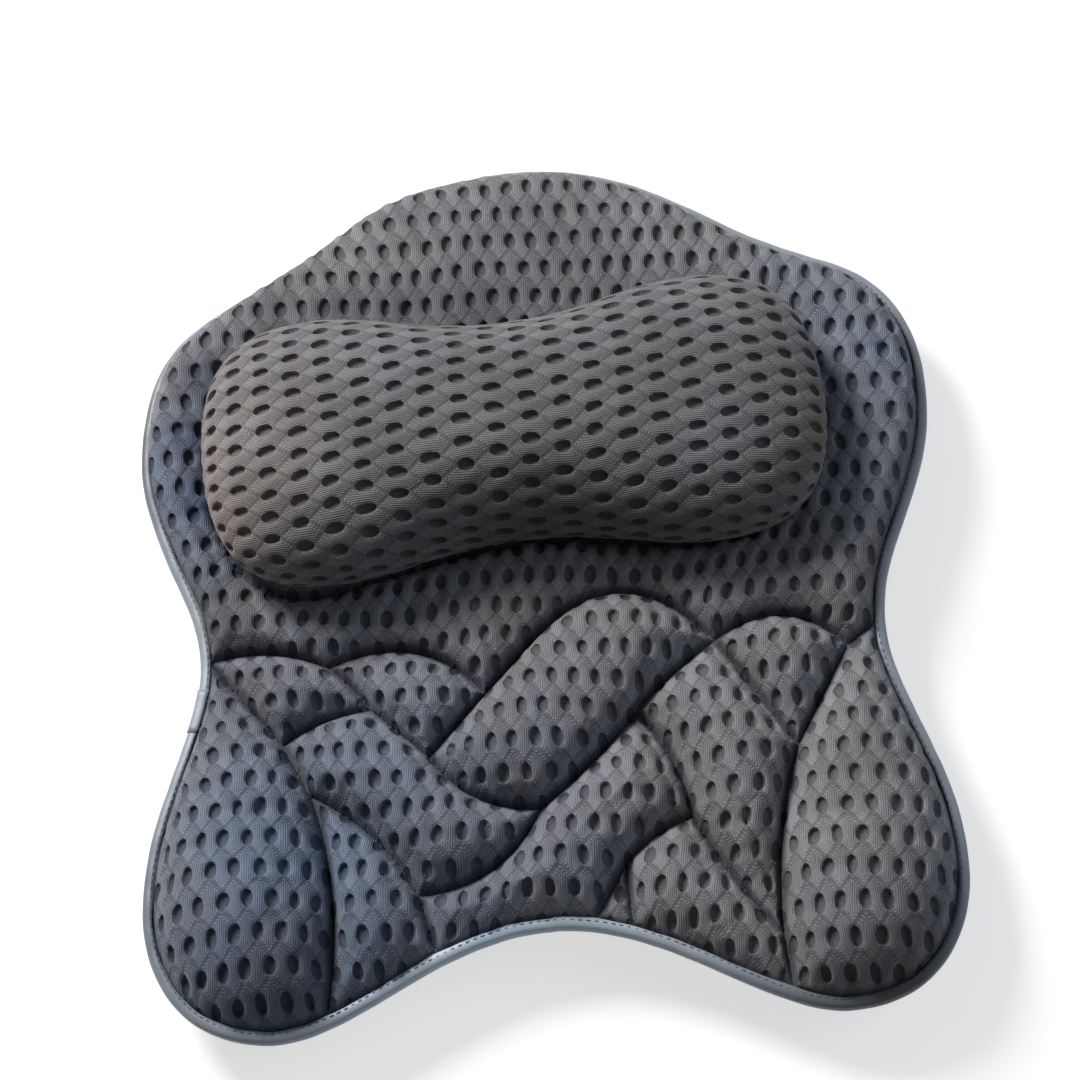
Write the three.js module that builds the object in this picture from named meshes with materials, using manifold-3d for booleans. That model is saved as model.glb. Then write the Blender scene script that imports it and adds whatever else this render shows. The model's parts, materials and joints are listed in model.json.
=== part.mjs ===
// Bath pillow: a quilted, butterfly-shaped pad of spacer mesh with a neck roll sewn on its front
// and six suction cups buttoned through its back.
// Millimetres. +Z points out of the front, +Y to the head end. The pad lies on its cups, lips at Z 0.
import * as THREE from 'three';
import { mergeVertices } from 'three/addons/utils/BufferGeometryUtils.js';
import Module from 'manifold-3d';

const wasm = await Module();
wasm.setup();

// Driving dimensions

const gap = 0.3; // clearance left between pieces that touch

const pad = {
  halfLength: 208, // centre to the crown, and centre to the bottom of the lobes
  neckX: 102, // where the crown's curve turns over into the shoulder
  neckDrop: 41, // from the crown
  halfWidth: 180, // at the shoulders
  shoulderDrop: 130, // from the crown
  waistHalf: 151,
  waistRise: 173, // over the bottom of the lobes
  lobeHalf: 176, // at the two lower lobes
  lobeRise: 62,
  lobeFootIn: 55, // from the lobe's widest point in to its lowest
  archRise: 42, // of the hollow between the lobes
};

const mesh = {
  thick: 3.8, // spacer mesh, uncompressed
  sewn: 2.2, // the same mesh pressed flat under a seam
};

const layer = {
  overHeads: 1.2, // batting left over the heads of the cups
  lining: 0.6,
  wadding: 1.05, // wadding pressed flat under a seam
  margin: 30, // width of the band where the back curves up to the edge
};

const binding = { tape: 0.9, lip: 5, beside: 2.2, corner: 1.3 };
const rim = binding.lip + binding.beside; // flat sewn border under and beside the binding

const quilt = {
  crown: 17, // tallest puff over its seams
  fullness: 0.62, // puff height over the cell's inner radius, for the smaller cells
  fieldCrown: 15, // of the plain upper field round the neck roll
  fieldFullness: 0.28,
};

const roll = {
  x: -7,
  drop: 150.5, // of the roll's centre from the crown
  turn: THREE.MathUtils.degToRad(3.3), // it is sewn on a little askew
  halfLength: 139,
  halfEnd: 63, // half width at the knuckles
  halfMiddle: 51,
  knuckleX: 85,
  spineHalf: 74,
  seatRise: 5.65, // of the front mesh under the roll, over the sewn border
  middleRise: 22, // of the roll's widest line over its seat
  half: 32, // height of the ridge over that line
  fullness: 2.3, // exponent of the section: 2 is an ellipse
  base: 0.8,
  gutter: 5, // flat border of the front mesh round the roll's foot
};

const cup = {
  radius: 29.5,
  lip: 1.9, // width of the flat sealing ring
  edge: 1.2,
  hollow: 6.6,
  wall: 2.6,
  shoulder: 1.3, // taper from the dish up to the neck
  neck: 5,
  head: 8.2,
  headTall: 3.6,
  tabLong: 7.5,
  tabWide: 9,
  tabThick: 1.3,
};

const eyelet = { flange: 10.5, flangeThick: 1.3, barrel: 8, washer: 12, washerThick: 1.2 };
const running = 0.4; // clearance between a cup's stud and its eyelet

// Cups, in from the edge and up from the height of the shoulders, the waist and the lobes
const cupInset = { upper: 65, middle: 69, lower: 54 };
const cupRise = { upper: 17, middle: 13, lower: -4 };

const facets = { round: 20, hole: 24 };

// Heights that follow from the dimensions, from the cup lips up

const studShoulder = cup.hollow + cup.wall + cup.shoulder;
const flangeBottom = studShoulder + running;
const flangeTop = flangeBottom + eyelet.flangeThick;
const backOuter = flangeTop + gap;
const backInner = backOuter + mesh.thick;
const barrelTop = backInner + gap + eyelet.washerThick;
const studSeat = barrelTop + running;
const studTop = studSeat + cup.headTall;
const pocketTop = studTop + 2 * gap;
const battingTop = pocketTop + layer.overHeads;
const liningBottom = battingTop + gap;
const liningTop = liningBottom + layer.lining;
const waddingBottom = liningTop + gap;
const waddingTop = waddingBottom + layer.wadding;
const backRimTop = waddingTop;
const frontRimUnder = backRimTop + gap;
const frontRimTop = frontRimUnder + mesh.sewn;
const rollSeat = frontRimTop + roll.seatRise;
const rollFoot = rollSeat + gap;
const rollMiddle = rollSeat + roll.middleRise;

// Places along the length that follow from the dimensions

const shoulderY = pad.halfLength - pad.shoulderDrop;
const waistY = pad.waistRise - pad.halfLength;
const lobeY = pad.lobeRise - pad.halfLength;
const archY = pad.archRise - pad.halfLength;
const rollY = pad.halfLength - roll.drop;

const cupPlaces = {};
for (const [row, half, height] of [
  ['upper', pad.halfWidth, shoulderY],
  ['middle', pad.waistHalf, waistY],
  ['lower', pad.lobeHalf, lobeY],
]) {
  const across = half - cupInset[row];
  cupPlaces[`${row}_left`] = [-across, height + cupRise[row]];
  cupPlaces[`${row}_right`] = [across, height + cupRise[row]];
}

// Meshes from loose triangles

function triangle(list, a, b, c) {
  const same = (p, q) => p.distanceToSquared(q) < 1e-6;
  if (!same(a, b) && !same(b, c) && !same(c, a)) list.push(a, b, c);
}

// A strip between two closed loops of equal length, facing left of the first loop's travel
function strip(list, from, to) {
  from.forEach((p, i) => {
    const j = (i + 1) % from.length;
    triangle(list, p, from[j], to[j]);
    triangle(list, p, to[j], to[i]);
  });
}

function fan(list, loop, tip) {
  loop.forEach((p, i) => triangle(list, p, loop[(i + 1) % loop.length], tip));
}

// A flat polygon; it faces up if the loop runs anticlockwise
function flat(list, loop) {
  const outline = loop.map((p) => new THREE.Vector2(p.x, p.y));
  for (const [a, b, c] of THREE.ShapeUtils.triangulateShape(outline, [])) {
    triangle(list, loop[a], loop[b], loop[c]);
  }
}

function turnedOver(list) {
  const turned = [];
  for (let i = 0; i < list.length; i += 3) turned.push(list[i], list[i + 2], list[i + 1]);
  return turned;
}

function geometryOf(...lists) {
  return new THREE.BufferGeometry().setFromPoints(lists.flat());
}

function solidOf(geometry) {
  const bare = geometry.clone();
  bare.deleteAttribute('normal');
  bare.deleteAttribute('uv');
  const merged = mergeVertices(bare.index ? bare.toNonIndexed() : bare, 1e-3);
  return new wasm.Manifold(
    new wasm.Mesh({
      numProp: 3,
      vertProperties: merged.attributes.position.array,
      triVerts: new Uint32Array(merged.index.array),
    }),
  );
}

function geometryFrom(solid) {
  const { vertProperties, triVerts } = solid.getMesh();
  const geometry = new THREE.BufferGeometry();
  geometry.setAttribute('position', new THREE.BufferAttribute(vertProperties, 3));
  geometry.setIndex(new THREE.BufferAttribute(triVerts, 1));
  return geometry;
}

function cylinder(radius, low, high, [x, y]) {
  return new THREE.CylinderGeometry(radius, radius, high - low, facets.hole)
    .rotateX(Math.PI / 2)
    .translate(x, y, (low + high) / 2);
}

function turned(profile, segments = facets.round) {
  const points = profile.map(([radius, height]) => new THREE.Vector2(radius, height));
  return new THREE.LatheGeometry(points, segments).rotateX(Math.PI / 2);
}

// Outline of the pad, from the crown down its right side: knots with the heading of the edge there and
// the reach of its curve before and after, as shares of the distance to the next knot

const deg = THREE.MathUtils.degToRad;
const edgeKnots = [
  { x: 0, y: pad.halfLength, heading: 0, reach: [0, 0.437] },
  { x: pad.neckX, y: pad.halfLength - pad.neckDrop, heading: deg(-32), reach: [0.273, 0.507] },
  { x: pad.halfWidth, y: shoulderY, heading: deg(-90), reach: [0.423, 0.428] },
  { x: pad.waistHalf, y: waistY, heading: deg(-90), reach: [0.343, 0.308] },
  { x: pad.lobeHalf, y: lobeY, heading: deg(-90), reach: [0.395, 0.446] },
  { x: pad.lobeHalf - pad.lobeFootIn, y: -pad.halfLength, heading: deg(-180), reach: [0.398, 0.273] },
  { x: 0, y: archY, heading: deg(-180), reach: [0.39, 0] },
];

function spansOf(knots) {
  const handle = ({ x, y, heading }, length) =>
    new THREE.Vector2(x + length * Math.cos(heading), y + length * Math.sin(heading));
  return knots.slice(1).map((knot, i) => {
    const from = knots[i];
    const start = new THREE.Vector2(from.x, from.y);
    const end = new THREE.Vector2(knot.x, knot.y);
    const chord = start.distanceTo(end);
    const leaving = handle(from, from.reach[1] * chord);
    const arriving = handle(knot, -knot.reach[0] * chord);
    return new THREE.CubicBezierCurve(start, leaving, arriving, end);
  });
}

const evenly = (count) => Array.from({ length: count }, (_, i) => i / count);

// Where quilting seams run out at the bottom edge, as shares of the way from lobe foot to arch
const seamEnds = { tearFoot: 0.228, archLeft: 0.64, archRight: 0.775, archCentre: 0.89 };
const upperStations = [evenly(4), evenly(5), evenly(4), evenly(4), evenly(5)];
const archStations = {
  left: [0, 0.11, seamEnds.tearFoot, 0.43, seamEnds.archLeft, 0.82],
  right: [0, 0.11, seamEnds.tearFoot, 0.41, 0.59, seamEnds.archRight, seamEnds.archCentre],
};

function halfEdge(side) {
  const spans = spansOf(edgeKnots);
  const stations = [...upperStations, archStations[side]];
  return spans.flatMap((span, s) =>
    stations[s].map((t) => {
      const point = span.getPoint(t);
      const way = span.getTangent(t);
      return { span: s, t, side, point, normal: new THREE.Vector2(-way.y, way.x) };
    }),
  );
}

const mirrored = ({ point, normal, ...rest }) => ({
  ...rest,
  point: new THREE.Vector2(-point.x, point.y),
  normal: new THREE.Vector2(-normal.x, normal.y),
});

// The edge runs anticlockwise from the arch: up the right side, over the crown, down the left side
const archApex = {
  span: edgeKnots.length - 1,
  point: new THREE.Vector2(0, archY),
  normal: new THREE.Vector2(0, -1),
};
const edge = [archApex, ...halfEdge('right').reverse(), ...halfEdge('left').slice(1).map(mirrored)];

const inset = (amount) => edge.map(({ point, normal }) => point.clone().addScaledVector(normal, -amount));
const raised = (loop, z) => loop.map((p) => new THREE.Vector3(p.x, p.y, z));
const edgeAt = (side, span, t) => edge.findIndex((e) => e.side === side && e.span === span && e.t === t);

const waistSpan = 3;
const archSpan = 5;
const edgePlaces = {
  waistLeft: edgeAt('left', waistSpan, 0),
  waistRight: edgeAt('right', waistSpan, 0),
  tearLeftFoot: edgeAt('left', archSpan, seamEnds.tearFoot),
  tearRightFoot: edgeAt('right', archSpan, seamEnds.tearFoot),
  archLeft: edgeAt('left', archSpan, seamEnds.archLeft),
  archRight: edgeAt('right', archSpan, seamEnds.archRight),
  archCentre: edgeAt('right', archSpan, seamEnds.archCentre),
};

// Quilting: joints of the seams, across in half widths of the waist and down from waist to arch

const quiltJoints = {
  leftNotch: [-0.625, 0.046],
  leftFork: [-0.505, 0.206],
  tearLeftHigh: [-0.762, 0.318],
  tearLeftLow: [-0.684, 0.5],
  centreNotch: [-0.171, 0.175],
  centreFork: [-0.34, 0.389],
  heart: [-0.025, 0.592],
  lowLeftFork: [-0.381, 0.864],
  rightNotch: [0.503, 0.034],
  centreRightFork: [0.26, 0.279],
  lowRightFork: [0.405, 0.652],
  tearRightHigh: [0.719, 0.427],
  tearRightTip: [0.883, 0.081],
  tearRightLow: [0.636, 1.068],
  tinyLeafTip: [0.207, 0.798],
};

const onPanel = ([across, down]) =>
  new THREE.Vector2(across * pad.waistHalf, waistY + down * (archY - waistY));

// Seams as [from, to, steps, bow]; the bow is a share of the chord, to the left of the travel
const seamPlan = {
  smallLeftTop: ['waistLeft', 'leftNotch', 3, 0.1],
  smallMiddleTop: ['leftNotch', 'centreNotch', 4, 0.19],
  smallLeftSide: ['leftNotch', 'leftFork', 2, 0.03],
  longLeftTop: ['tearLeftHigh', 'leftFork', 2, 0.07],
  longLeftSide: ['leftFork', 'centreFork', 2, 0],
  centreSide: ['centreFork', 'centreNotch', 2, 0],
  centreFoot: ['centreFork', 'heart', 3, -0.14],
  centreRightLow: ['heart', 'centreRightFork', 3, -0.03],
  centreRightHigh: ['centreRightFork', 'rightNotch', 2, 0.03],
  longLeftFoot: ['lowLeftFork', 'heart', 4, -0.145],
  longLeftBack: ['tearLeftLow', 'lowLeftFork', 3, 0.075],
  tearLeftUpper: ['waistLeft', 'tearLeftHigh', 2, 0],
  tearLeftMiddle: ['tearLeftHigh', 'tearLeftLow', 1, 0],
  tearLeftLower: ['tearLeftFoot', 'tearLeftLow', 4, -0.065],
  lowLeftSide: ['lowLeftFork', 'archLeft', 1, 0],
  lowCentreSide: ['centreRightFork', 'lowRightFork', 3, 0.08],
  lowCentreFoot: ['tinyLeafTip', 'lowRightFork', 2, 0.07],
  tinyLeafSide: ['archCentre', 'tinyLeafTip', 1, 0],
  tinyLeafBack: ['archRight', 'tinyLeafTip', 1, 0],
  smallRightTop: ['tearRightTip', 'rightNotch', 4, -0.22],
  smallRightSide: ['rightNotch', 'tearRightHigh', 3, 0],
  tearRightTop: ['waistRight', 'tearRightTip', 1, 0],
  tearRightUpper: ['tearRightHigh', 'tearRightTip', 3, 0],
  tearRightMiddle: ['tearRightLow', 'tearRightHigh', 4, 0.047],
  tearRightLower: ['tearRightFoot', 'tearRightLow', 1, 0],
  lowRightSide: ['lowRightFork', 'tearRightLow', 3, -0.03],
};

// The centre leaf's long top is the one seam with a free shape
const centreTop = ['rightNotch', [0.371, -0.107], [0.219, -0.16], [0.053, -0.084], 'centreNotch'];
const centreTopSteps = 7;

// Cells as loops of seams, run anticlockwise: a minus sign runs a seam backwards, and a pair
// of edge places follows the edge between them
const cellPlan = {
  smallLeft: ['tearLeftUpper', 'longLeftTop', '-smallLeftSide', '-smallLeftTop'],
  smallMiddle: ['smallLeftSide', 'longLeftSide', 'centreSide', '-smallMiddleTop'],
  longLeft: ['tearLeftMiddle', 'longLeftBack', 'longLeftFoot', '-centreFoot', '-longLeftSide', '-longLeftTop'],
  centre: ['centreFoot', 'centreRightLow', 'centreRightHigh', 'centreTop', '-centreSide'],
  smallRight: ['smallRightSide', 'tearRightUpper', 'smallRightTop'],
  longRight: ['lowCentreSide', 'lowRightSide', 'tearRightMiddle', '-smallRightSide', '-centreRightHigh'],
  lowCentre: [
    '-longLeftFoot', 'lowLeftSide', ['archLeft', 'archCentre'], 'tinyLeafSide', 'lowCentreFoot',
    '-lowCentreSide', '-centreRightLow',
  ],
  tinyLeaf: ['-tinyLeafSide', ['archCentre', 'archRight'], 'tinyLeafBack'],
  lowRight: [
    '-tinyLeafBack', ['archRight', 'tearRightFoot'], 'tearRightLower', '-lowRightSide', '-lowCentreFoot',
  ],
  tearRight: [
    ['tearRightFoot', 'waistRight'], 'tearRightTop', '-tearRightUpper', '-tearRightMiddle', '-tearRightLower',
  ],
  tearLeft: [['waistLeft', 'tearLeftFoot'], 'tearLeftLower', '-tearLeftMiddle', '-tearLeftUpper'],
  lowLeft: ['-tearLeftLower', ['tearLeftFoot', 'archLeft'], '-lowLeftSide', '-longLeftBack'],
};
const fieldPlan = [
  ['waistRight', 'waistLeft'], 'smallLeftTop', 'smallMiddleTop', '-centreTop', '-smallRightTop',
  '-tearRightTop',
];

function bowed(from, to, bow, steps) {
  const across = to.clone().sub(from);
  const control = from.clone().add(to).multiplyScalar(0.5);
  control.add(new THREE.Vector2(-across.y, across.x).multiplyScalar(2 * bow));
  return new THREE.QuadraticBezierCurve(from, control, to).getPoints(steps);
}

// Every cell's outline in plan, inside the sewn border
const border = inset(rim);
const quiltLoops = (() => {
  const place = (name) => {
    if (Array.isArray(name)) return onPanel(name);
    return name in edgePlaces ? border[edgePlaces[name]] : onPanel(quiltJoints[name]);
  };
  const seams = { centreTop: new THREE.SplineCurve(centreTop.map(place)).getPoints(centreTopSteps) };
  for (const [name, [from, to, steps, bow]] of Object.entries(seamPlan)) {
    seams[name] = bowed(place(from), place(to), bow, steps);
  }
  const along = (step) => {
    if (Array.isArray(step)) {
      const [from, to] = step.map((name) => edgePlaces[name]);
      const count = (to - from + border.length) % border.length;
      return Array.from({ length: count }, (_, i) => border[(from + i) % border.length]);
    }
    const points = step.startsWith('-') ? [...seams[step.slice(1)]].reverse() : seams[step];
    return points.slice(0, -1);
  };
  const cells = Object.fromEntries(Object.entries(cellPlan).map(([name, plan]) => [name, plan.flatMap(along)]));
  return { cells, field: fieldPlan.flatMap(along) };
})();

// Neck roll: outline at its widest line, section and foot

function rollOutline() {
  const knots = [
    { x: 0, y: roll.halfMiddle, heading: 0, reach: [0, 0.466] },
    { x: roll.knuckleX, y: roll.halfEnd, heading: 0, reach: [0.408, 0.485] },
    { x: roll.halfLength, y: 0, heading: deg(-90), reach: [0.497, 0] },
  ];
  const quarter = spansOf(knots).flatMap((span) => evenly(6).map((t) => span.getPoint(t)));
  const tip = new THREE.Vector2(roll.halfLength, 0);
  const right = [...quarter, tip, ...quarter.slice(1).reverse().map((p) => new THREE.Vector2(p.x, -p.y))];
  const left = right.map((p) => new THREE.Vector2(-p.x, -p.y));
  return [...right, ...left].reverse();
}

// Section of the roll from its foot to its ridge, as share of the half width and height
const sectionFoot = -Math.asin(((rollMiddle - rollFoot) / roll.half) ** (roll.fullness / 2));
const sectionTurns = [sectionFoot, deg(-18), deg(4), deg(26), deg(46), deg(66), Math.PI / 2];
const power = (value) => Math.sign(value) * Math.abs(value) ** (2 / roll.fullness);
const rollSection = sectionTurns.map((turn) => ({
  share: turn === Math.PI / 2 ? 0 : power(Math.cos(turn)),
  z: rollMiddle + roll.half * power(Math.sin(turn)),
}));

const rollAxis = (p) => new THREE.Vector2(THREE.MathUtils.clamp(p.x, -roll.spineHalf, roll.spineHalf), 0);

// Loops of the roll from foot to ridge, drawn in from its outside by the given depth
function rollLoops(depth, footZ) {
  const lean = rollSection.map((_, k) => {
    const before = rollSection[Math.max(k - 1, 0)];
    const after = rollSection[Math.min(k + 1, rollSection.length - 1)];
    return Math.atan2((before.share - after.share) * roll.halfMiddle, after.z - before.z);
  });
  return rollSection.map(({ share, z }, k) => {
    const isFoot = k === 0;
    const isRidge = k === rollSection.length - 1;
    const height = isFoot ? footZ : z - depth * (isRidge ? 1 : Math.sin(lean[k]));
    const drawn = isFoot ? depth : depth * Math.cos(lean[k]);
    return rollOutline().map((p) => {
      const axis = rollAxis(p);
      const out = p.clone().sub(axis);
      const length = isRidge ? 0 : share * out.length() - drawn;
      const point = axis.addScaledVector(out.normalize(), length);
      return new THREE.Vector3(point.x, point.y, height);
    });
  });
}

// The roll's foot on the pad: how far it reaches from the roll's centre along a direction
function footReach(angle) {
  const way = new THREE.Vector2(Math.cos(angle - roll.turn), Math.sin(angle - roll.turn));
  const loop = rollLoops(0, rollFoot)[0];
  for (let i = 0; i < loop.length; i += 1) {
    const a = loop[i];
    const b = loop[(i + 1) % loop.length];
    const sideA = way.x * a.y - way.y * a.x;
    const sideB = way.x * b.y - way.y * b.x;
    const t = sideA / (sideA - sideB);
    const reach = (a.x + (b.x - a.x) * t) * way.x + (a.y + (b.y - a.y) * t) * way.y;
    if (sideA <= 0 && sideB > 0 && reach > 0) return reach;
  }
  throw new Error('the roll has no foot along that direction');
}

// Puffed surfaces

const puff = (share) => Math.sqrt(1 - share * share);

function middleOf(loop) {
  const area = THREE.ShapeUtils.area(loop);
  const sum = new THREE.Vector2();
  loop.forEach((p, i) => {
    const q = loop[(i + 1) % loop.length];
    sum.addScaledVector(p.clone().add(q), (p.x * q.y - q.x * p.y) / (6 * area));
  });
  return sum;
}

// A cell that swells from its seams to a crown, in rings given as shares of the way out
function dome(list, loop, z, lift, rings) {
  const middle = middleOf(loop);
  const loops = rings.map((share) =>
    loop.map((p) => {
      const point = middle.clone().lerp(p, share);
      return new THREE.Vector3(point.x, point.y, z + lift * puff(share));
    }),
  );
  loops.slice(1).forEach((next, i) => strip(list, loops[i], next));
  fan(list, loops.at(-1), new THREE.Vector3(middle.x, middle.y, z + lift));
}

function crownOf(loop) {
  const middle = middleOf(loop);
  const inner = Math.min(...loop.map((p) => p.distanceTo(middle)));
  return Math.min(quilt.crown, quilt.fullness * inner);
}

// The plain upper field: a puffed band between its outline and the roll's seat, then the seat
function field(list, outline, { z, seat, sink, shares }) {
  const centre = new THREE.Vector2(roll.x, rollY);
  const bands = outline.map((p) => {
    const out = p.clone().sub(centre);
    const reach = footReach(out.angle()) + roll.gutter;
    const foot = centre.clone().addScaledVector(out.clone().normalize(), reach);
    const lift = Math.min(quilt.fieldCrown, quilt.fieldFullness * (out.length() - reach));
    return { p, foot, lift };
  });
  const loops = shares.map((share) =>
    bands.map(({ p, foot, lift }) => {
      const point = p.clone().lerp(foot, share);
      const swell = Math.max(0, lift * Math.sin(Math.PI * share) - sink * Math.min(share, 1 - share) * 2);
      return new THREE.Vector3(point.x, point.y, z + (seat - z) * share + swell);
    }),
  );
  loops.slice(1).forEach((next, i) => strip(list, loops[i], next));
  fan(list, loops.at(-1), new THREE.Vector3(centre.x, centre.y, seat));
}

// The whole quilted surface; sink lowers the crowns to leave room for the mesh above
function quiltedSurface(face) {
  const list = [];
  for (const loop of Object.values(quiltLoops.cells)) {
    dome(list, loop, face.z, crownOf(loop) - face.sink, face.rings);
  }
  field(list, quiltLoops.field, face);
  return list;
}

const outerFace = {
  z: frontRimTop,
  seat: rollSeat,
  sink: 0,
  rings: [1, 0.8, 0.45],
  shares: [0, 0.3, 0.7, 1],
};
const innerFace = {
  z: frontRimUnder,
  seat: rollSeat - mesh.thick,
  sink: mesh.thick - mesh.sewn,
  rings: [1, 0.6],
  shares: [0, 0.3, 0.7, 1],
};

// Pieces of the pad

function frontMeshPanel() {
  const cutEdge = inset(binding.tape + gap);
  const list = quiltedSurface(outerFace);
  const under = turnedOver(quiltedSurface(innerFace));
  strip(list, raised(cutEdge, frontRimTop), raised(border, frontRimTop));
  const side = [];
  strip(side, raised(border, frontRimUnder), raised(cutEdge, frontRimUnder));
  strip(side, raised(cutEdge, frontRimUnder), raised(cutEdge, frontRimTop));
  return geometryOf(list, under, side);
}

// The back panel leaves the binding at the edge's height and curves down to its flat middle
const backCurve = 1.3;
const backShare = (distance) =>
  THREE.MathUtils.clamp((distance - binding.lip) / (layer.margin - binding.lip), 0, 1);
const backInnerAt = (distance) =>
  backInner + (backRimTop - backInner) * (1 - backShare(distance)) ** backCurve;
const backOuterAt = (distance) =>
  backInnerAt(distance) - mesh.sewn - (mesh.thick - mesh.sewn) * backShare(distance);
const distanceWhereBackIs = (height) => {
  const share = 1 - ((height - backInner) / (backRimTop - backInner)) ** (1 / backCurve);
  return binding.lip + (layer.margin - binding.lip) * share;
};

function quiltWadding() {
  const foot = inset(distanceWhereBackIs(waddingBottom - gap) + rim - binding.lip);
  const top = quiltedSurface({ ...innerFace, z: waddingTop, seat: innerFace.seat - gap });
  const lowEdge = raised(border, backInnerAt(rim) + gap);
  const side = [];
  strip(side, lowEdge, raised(border, waddingTop));
  const under = [];
  strip(under, lowEdge, raised(foot, waddingBottom));
  flat(under, raised(foot, waddingBottom));
  return geometryOf(top, side, turnedOver(under));
}

function flatSheet(loop, low, high) {
  const top = [];
  flat(top, raised(loop, high));
  const under = [];
  flat(under, raised(loop, low));
  const side = [];
  strip(side, raised(loop, low), raised(loop, high));
  return geometryOf(top, turnedOver(under), side);
}

const quiltLining = () => flatSheet(inset(distanceWhereBackIs(liningBottom - gap)), liningBottom, liningTop);

function coreBatting() {
  const start = distanceWhereBackIs(battingTop - 2 * gap - layer.overHeads);
  const loopAt = (distance) => raised(inset(distance), backInnerAt(distance) + gap);
  const under = [];
  strip(under, loopAt(start), loopAt(layer.margin));
  flat(under, loopAt(layer.margin));
  const side = [];
  strip(side, loopAt(start), raised(inset(start), battingTop));
  const top = [];
  flat(top, raised(inset(start), battingTop));
  const pockets = Object.values(cupPlaces).map((place) =>
    solidOf(cylinder(eyelet.washer + 2 * gap, backOuter, pocketTop, place)),
  );
  const slab = solidOf(geometryOf(turnedOver(under), side, top));
  return geometryFrom(pockets.reduce((left, pocket) => left.subtract(pocket), slab));
}

function backMeshPanel() {
  const cutEdge = binding.tape + gap;
  const steps = [cutEdge, binding.lip, (binding.lip + layer.margin) / 2, layer.margin];
  const faceAt = (heightAt) => steps.map((distance) => raised(inset(distance), heightAt(distance)));
  const upper = faceAt(backInnerAt);
  const lower = faceAt(backOuterAt);
  const skin = (loops) => {
    const list = [];
    loops.slice(1).forEach((next, i) => strip(list, loops[i], next));
    flat(list, loops.at(-1));
    return list;
  };
  const side = [];
  strip(side, lower[0], upper[0]);
  const sheet = solidOf(geometryOf(skin(upper), turnedOver(skin(lower)), side));
  const holes = Object.values(cupPlaces).map((place) =>
    solidOf(cylinder(eyelet.barrel + gap, 0, battingTop, place)),
  );
  return geometryFrom(holes.reduce((left, hole) => left.subtract(hole), sheet));
}

// Folded tape that wraps both cut edges all the way round
function edgeBinding() {
  const inner = [backRimTop - mesh.sewn - gap, frontRimTop + gap];
  const outer = [inner[0] - binding.tape, inner[1] + binding.tape];
  const section = [
    [binding.lip, inner[1]],
    [binding.tape, inner[1]],
    [binding.tape, inner[0]],
    [binding.lip, inner[0]],
    [binding.lip, outer[0]],
    [binding.corner, outer[0]],
    [0, outer[0] + binding.corner],
    [0, outer[1] - binding.corner],
    [binding.corner, outer[1]],
    [binding.lip, outer[1]],
  ];
  const loops = section.map(([depth, z]) => raised(inset(depth), z));
  const list = [];
  loops.forEach((loop, i) => strip(list, loop, loops[(i + 1) % loops.length]));
  return geometryOf(list);
}

// Pieces of the neck roll

function closeRidge(list, loops) {
  loops.slice(1).forEach((next, i) => strip(list, loops[i], next));
}

function rollCover() {
  const outside = rollLoops(0, rollFoot);
  const inside = rollLoops(mesh.thick, rollFoot);
  const list = [];
  closeRidge(list, outside);
  const lining = [];
  closeRidge(lining, inside);
  const foot = [];
  strip(foot, inside[0], outside[0]);
  return geometryOf(list, turnedOver(lining), foot);
}

function rollFilling() {
  const loops = rollLoops(mesh.thick + gap, rollFoot + roll.base + gap);
  const list = [];
  closeRidge(list, loops);
  const under = [];
  flat(under, loops[0]);
  return geometryOf(list, turnedOver(under));
}

const rollBase = () => flatSheet(rollLoops(mesh.thick + gap, rollFoot)[0], rollFoot, rollFoot + roll.base);

// Suction cups and the eyelets that hold them

function suctionCup() {
  const sealing = cup.radius - cup.lip;
  const crown = cup.hollow + cup.wall;
  const body = turned([
    [0, cup.hollow],
    [cup.neck, cup.hollow],
    [sealing * 0.55, cup.hollow * 0.64],
    [sealing, 0],
    [cup.radius, 0],
    [cup.radius, cup.edge],
    [sealing * 0.55, cup.hollow * 0.64 + cup.wall],
    [cup.neck * 1.7, crown],
    [cup.neck, studShoulder],
    [cup.neck, studSeat],
    [cup.head, studSeat],
    [cup.head, studSeat + cup.headTall * 0.4],
    [cup.head * 0.7, studTop],
    [0, studTop],
  ]);
  const tongue = new THREE.Shape();
  const half = cup.tabWide / 2;
  const root = cup.radius - cup.lip;
  const tip = cup.radius + cup.tabLong - half;
  tongue.moveTo(root, -half).lineTo(tip, -half).absarc(tip, 0, half, -Math.PI / 2, Math.PI / 2);
  tongue.lineTo(root, half).closePath();
  const tab = new THREE.ExtrudeGeometry(tongue, { depth: cup.tabThick, bevelEnabled: false, curveSegments: 6 });
  return geometryFrom(solidOf(body).add(solidOf(tab.translate(0, 0, cup.edge / 2))));
}

function eyeletRing() {
  const bore = cup.neck + running;
  return turned([
    [bore, flangeBottom],
    [eyelet.flange, flangeBottom],
    [eyelet.flange, flangeTop],
    [eyelet.barrel, flangeTop],
    [eyelet.barrel, barrelTop],
    [bore, barrelTop],
    [bore, flangeBottom],
  ]);
}

function eyeletWasher() {
  const bore = eyelet.barrel + gap;
  const low = backInner + gap;
  return turned([
    [bore, low],
    [eyelet.washer, low],
    [eyelet.washer, low + eyelet.washerThick],
    [bore, low + eyelet.washerThick],
    [bore, low],
  ]);
}

// Materials and assembly

const cloth = (color) => new THREE.MeshStandardMaterial({ color, roughness: 0.95, metalness: 0 });
const meshCloth = cloth(0x6c6e73);
const fibre = cloth(0xe8e6e0);
const tape = new THREE.MeshStandardMaterial({ color: 0x7d858e, roughness: 0.6, metalness: 0 });
const softVinyl = new THREE.MeshStandardMaterial({ color: 0xbfc5c9, roughness: 0.25, metalness: 0 });
const plastic = new THREE.MeshStandardMaterial({ color: 0x55585d, roughness: 0.45, metalness: 0 });

const pillow = new THREE.Group();

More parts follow.
